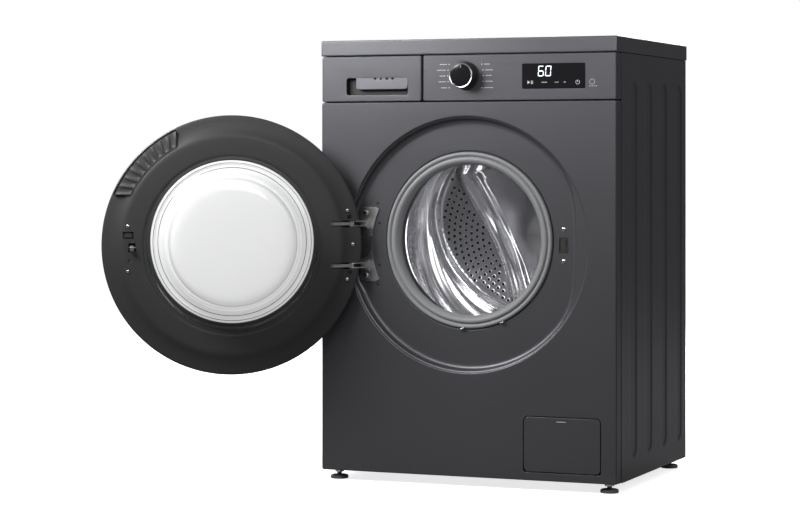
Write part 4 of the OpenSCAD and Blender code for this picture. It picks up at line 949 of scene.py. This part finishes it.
# A near-black disc paints the shade inside the latch hole.
s.turn([(2.4, -223.3), (0, -223.25)], 476.4, 197, 20, mat=1)
s.box((183.6, 196.4), (-236, -235), (DZ - 11.6, DZ + 4))
s.make("latch_guide", [PLASTIC, HOLE_SHADE], "door", "dark_plastic", swing=True, bevel=0.3)
s = Shape()
for x, y, z in ((198, -221, DZ + 37), (198, -221, DZ - 49), (-220, -227.4, DZ + 66), (-231, -230.6, DZ + 1),
                (-220, -227.4, DZ - 66)):
    screw(s, x, y, z, 3.1, 0, 1, -1)
s.make("door_screw_heads", [ZINC, HOLE_SHADE], "door", "bright_steel", ["door_screws"], swing=True, merge=False,
       flat_weight=False)

# Glass bowl with its stepped flange; the glass glows with a weak white emission, painted light though it is no
# lamp
GYL = -223.0
s = Shape()
gp = [(0, GYL + 92), (60, GYL + 91.9), (96, GYL + 91.6), (108, GYL + 90.4), (113, GYL + 88),
      (116.5, GYL + 84), (119, GYL + 78),
      (121.5, GYL + 68), (125, GYL + 50), (128.5, GYL + 34), (131, GYL + 22), (133.5, GYL + 12),
      (137, GYL + 6.5), (141.5, GYL + 4),
      (144.5, GYL + 3.4), (145.5, GYL + 2.4), (147, GYL + 2.4), (148, GYL + 3.6), (151, GYL + 4),
      (153.6, GYL + 3.2), (155, GYL + 1.4),
      (155, GYL - 2.4), (153, GYL - 3), (143, GYL - 3), (137, GYL - 1), (132, GYL + 4), (128.5, GYL + 12),
      (126, GYL + 22),
      (123.5, GYL + 34), (120, GYL + 50), (116.5, GYL + 66), (113.5, GYL + 76), (110, GYL + 82),
      (104, GYL + 86), (92, GYL + 87.6),
      (60, GYL + 88), (0, GYL + 88)]
s.turn(gp, BZ, 0, 160)
# Two thin dark rings on the glass flange: painted shade for the dark edge lines of its steps.
for r, y in ((150.5, 3.9), (141, 4.4)):
    s.turn([(r - 0.6, GYL + y), (r, GYL + y + 0.6), (r + 0.6, GYL + y - 0.2)], BZ, 0, 160, mat=1)
s.make("bowl", [BOWL_GLOW, PLASTIC], "door", "clear_glass", ["door_glass"], swing=True, sharp=70,
       flat_weight=False)

# Outer ring and tinted window
s = Shape()
s.turn([(246.2, -238), (248, -238.6), (248, -241), (246.6, -243.4), (243, -246.4), (236, -251.2),
        (228, -256), (220, -260.2),
        (211, -264), (203, -267.2), (195, -269.8), (187, -271.4), (182, -271.9), (179.4, -271.6),
        (178.2, -270.4), (178, -268.5),
        (187, -268), (204, -264.5), (220, -258.5), (234, -249.5), (241.5, -243)], DZ, 0, 240, closed=True)
ring_ob = s.make("door_outer", [PAINT], "door", "dark_plastic", flat_weight=False)
carve_closed(ring_ob, [cutbox((-262, -221), (-266, -225), (z - 6.8, z + 6.8)) for z in HINGE_Z])
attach(ring_ob, "door")
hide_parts("door_cover")
s = Shape()
s.turn([(0, -274), (60, -273.8), (110, -273.4), (150, -272.9), (166, -272.3), (172, -271.8),
        (176.2, -270.6), (177.4, -269),
        (177.4, -266.4), (150, -269), (0, -270)], DZ, 0, 160)
s.make("outer_window", [TINT], "door", "tinted_glass", ["door_window"], swing=True, sharp=70,
       flat_weight=False)
s = Shape()
s.turn([(0, -240), (156.4, -240), (162.4, -239.8), (177, -262), (176, -266)], DZ, 0, 96)
s.make("door_liner", [WHITE], "door", "white_plastic", swing=True, flat_weight=False)

# Latch hook
s = Shape()
prof = [(-232, DZ - 7), (-226, DZ - 8), (-214, DZ - 8), (-212, DZ - 10.8), (-208.6, DZ - 11.4),
        (-206.4, DZ - 9.6),
        (-206, DZ - 4), (-207.6, DZ - 0.8), (-211, DZ + 0.4), (-226, DZ + 0.6), (-231, DZ)]
ls = [s.loop([(x, y, z) for y, z in prof]) for x in (186.2, 193.8)]
s.bridge(*ls)
s.face(ls[0])
s.face(ls[1])
s.make("hook", [GRIP], "latch", "zinc_steel", ["latch_hook"], swing=True, bevel=0.8, segments=3)

# ------------------------------------------------------------------ hinge, lock and screws on the recess floor
FY = F + 18
s = Shape()
bx0, bx1 = -224.0, -191.0
zc, bh = DZ, 71.5
pts = []
for k in range(33):
    a = math.asin(bh / 163) * (1 - 2 * k / 32)
    pts.append((bx1 + 155 - 163 * math.cos(a), zc + 163 * math.sin(a)))
pts = [(bx0 + 5, zc + bh), (bx1 - 1.5, zc + bh)] + pts[1:-1] + [(bx1 - 1.5, zc - bh), (bx0 + 5, zc - bh)]
for k in range(7):
    a = math.radians(270 - 90 * k / 6)
    pts.append((bx0 + 6 + 6 * math.cos(a), zc - bh + 6 + 6 * math.sin(a)))
for k in range(7):
    a = math.radians(180 - 90 * k / 6)
    pts.append((bx0 + 6 + 6 * math.cos(a), zc + bh - 6 + 6 * math.sin(a)))
lo_, hi_ = s.loop(at_y(pts, FY)), s.loop(at_y(pts, FY - 3))
s.bridge(lo_, hi_)
s.cap(hi_)
s.cap(lo_)
for z in HINGE_Z:
    for zz0, zz1 in ((z - 5.3, z - 3.3), (z + 3.3, z + 5.3)):
        prof = []
        for k in range(13):
            a = math.radians(152 + 180 * k / 12)
            prof.append((HX + 5 * math.cos(a), HY + 5 * math.sin(a)))
        prof += [(-206, FY - 3), (-219, FY - 3)]
        l0, l1 = s.loop([(x, y, zz0) for x, y in prof]), s.loop([(x, y, zz1) for x, y in prof])
        s.bridge(l0, l1)
        s.face(l0)
        s.face(l1)
    s.box((-221, -204), (FY - 7, FY - 2.5), (z - 10, z + 10))
s.make("hinge_plate", [ZINC], "cabinet", "zinc_steel", ["hinge_bracket"], bevel=0.7, segments=3, merge=False)
s = Shape()
for z in (DZ - 60.5, DZ + 60.5):
    screw(s, -211.5, FY - 3, z, 5, 0, 1)
for z in (DZ + 2.5 - 29.7, DZ + 2.5 + 29.7):
    screw(s, 190, FY, z, 4, 0, 1)
s.make("recess_screws", [CHROME, HOLE_SHADE], "cabinet", "bright_steel", ["front_screws"], merge=False,
       flat_weight=False)
s = Shape()
# Small near-black discs on the recess floor paint the shade of pilot holes.
for x, z in ((-188, DZ + 79), (-184.5, DZ + 41), (-184.5, DZ - 40), (-188, DZ - 77)):
    s.turn([(3.3, FY - 0.05), (2.9, FY - 0.12), (0, FY - 0.1)], z, x, 20)
s.make("pilot_hole_shade_discs", [HOLE_SHADE], "cabinet", "painted_dark", merge=False, flat_weight=False)
s = Shape()
# The lock body is near-black: partly its own dark plastic, partly painted shade seen through the lock opening.
s.box((176, 204), (FY + 1.3, FY + 27.2), (DZ - 37.5, DZ + 42.5), 0)
s.box((181.4, 183.4), (FY + 0.8, FY + 4), (446, 473), 1)
s.box((191.6, 198.6), (FY - 0.1, FY + 1.2), (445.5, 459.6), 1)
s.box((193.2, 194.4), (FY - 0.5, FY + 1.2), (447, 470.5), 1)
s.make("lock_body", [HOLE_SHADE, PLASTIC], "cabinet", "dark_plastic", ["door_lock"], bevel=0.3, merge=False)

# ------------------------------------------------------------------ levelling feet
for key, x, y in (("front_left", -275, -198), ("front_right", 275, -198), ("rear_left", -275, 198),
                  ("rear_right", 275, 198)):
    s = Shape()
    seg = 96
    loops = []
    for r, z, w in ((15.6, 0, 0), (17, 0.6, 1), (17.4, 2.2, 1), (17.2, 5.4, 1), (16.2, 6.6, 0.6),
                    (13, 7.6, 0), (7, 8.2, 0)):
        loops.append(s.loop([(x + (r - (0.7 * w if i % 4 < 2 else 0)) * math.cos(2 * math.pi * i / seg),
                              y + (r - (0.7 * w if i % 4 < 2 else 0)) * math.sin(2 * math.pi * i / seg), z)
                             for i in range(seg)]))
    s.skin(loops)
    s.face(loops[0])
    s.face(loops[-1])
    stud = []
    for k in range(41):
        z = 8.0 + 36 * k / 40
        r = 4.9 if k % 2 else 4.2
        stud.append(s.loop([(x + r * math.cos(2 * math.pi * i / 24), y + r * math.sin(2 * math.pi * i / 24),
                             z) for i in range(24)]))
    s.skin(stud, 1)
    s.face(stud[-1], 1)
    end, side = key.split("_")
    s.make("foot_" + key + "_pad", [PAD, ZINC], "foot_" + end[0] + side[0], "foot_grey", ["foot_" + key],
           sharp=40, flat_weight=False, merge=False)

# ------------------------------------------------------------------ coil springs
s = Shape()
for x in (-262, 262):
    turns, n = 17, 17 * 20
    z0, z1 = 654.0, 790.0
    rows = []
    for k in range(n + 1):
        a = 2 * math.pi * turns * k / n
        ca, sa = math.cos(a), math.sin(a)
        z = z0 + (z1 - z0) * k / n
        rows.append(s.loop([(x + (11.4 + 1.5 * math.cos(b)) * ca, 75 + (11.4 + 1.5 * math.cos(b)) * sa,
                             z + 1.5 * math.sin(b))
                            for b in (math.pi * q / 3 for q in range(6))]))
    s.skin(rows)
    s.face(rows[0])
    s.face(rows[-1])
s.make("springs", [ZINC], "cabinet", "zinc_steel", ["suspension_springs"], merge=False, sharp=60,
       flat_weight=False,
       floats=((0, 0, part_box("suspension_springs")[1].z - 0.02),
               (0, 0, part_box("suspension_springs")[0].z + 0.02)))

# Sump hose: a folded bellows, fixed in place
lo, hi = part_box("sump_hose")
hx, hy, hr = (lo.x + hi.x) * 500, (lo.y + hi.y) * 500, (hi.x - lo.x) * 500
z0, z1 = lo.z * 1000, hi.z * 1000
folds = [(hr - (2.5 if i % 2 and 1 < i < 15 else 0), z0 + (z1 - z0) * i / 16) for i in range(17)]
wall = folds + [(r - 3, z) for r, z in folds[::-1]] + folds[:1]
s = Shape()
s.skin([s.loop([(hx + r * math.cos(t), hy + r * math.sin(t), z) for t in angles[::4]]) for r, z in wall])
s.make("sump_bellows", [BLACK_RUBBER_AND_GAP_SHADE], "cabinet", "grey_rubber", ["sump_hose"], sharp=60,
       floats=((0, 0, lo.z + 0.015), (0, 0, hi.z - 0.015)))

# ------------------------------------------------------------------ finishes for the frame's own nodes
FINISH = {
    PAINT_BACK: ("rear_panel", "rear_cover"),
    CHROME: ("rear_screws", "hinge_pins", "latch_pin", "drum_shaft", "bearings", "damper_rods",
             "gasket_rear_clamp", "heater",
             "gasket_front_clamp", "front_screws", "door_screws"),
    ZINC: ("foot_lock_nuts", "hinge_arms", "rotor", "hinge_bracket", "suspension_springs", "latch_hook"),
    PLASTIC: ("base_pan", "damper_tubes", "transit_caps", "door_frame", "door_lock"),
    BLACK_RUBBER_AND_GAP_SHADE: ("sump_hose", "fill_hose", "cord_gland"),
    WHITE: ("tub_front", "tub_rear", "dispenser_housing", "drawer_box", "water_valve", "drain_pump",
            "drain_outlet"),
    BLUE: ("siphon_cap", "drain_filter"), CONCRETE: ("counterweights",), CAST: ("spider",),
          COPPER: ("stator",),
    BOARD: ("control_board",), PAINT: ("cabinet_wrap", "front_panel", "control_panel", "drawer_front",
                                       "filter_flap", "door_cover"),
    PAINT_TOP: ("top_plate",), RUBBER: ("gasket",), STEEL: ("drum_shell", "drum_front_ring", "drum_back",
                                                            "lifters"),
    GLOSS: ("display_window", "program_knob"), TINT: ("door_window",), BOWL_GLOW: ("door_glass",),
    PAD: ("foot_front_left", "foot_front_right", "foot_rear_left", "foot_rear_right"),
}
for mt, names in FINISH.items():
    for nm in names:
        o = bpy.data.objects[nm]
        if not o.material_slots:
            o.data.materials.append(mt)
        for sl in o.material_slots:
            sl.material = mt

lo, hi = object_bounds()
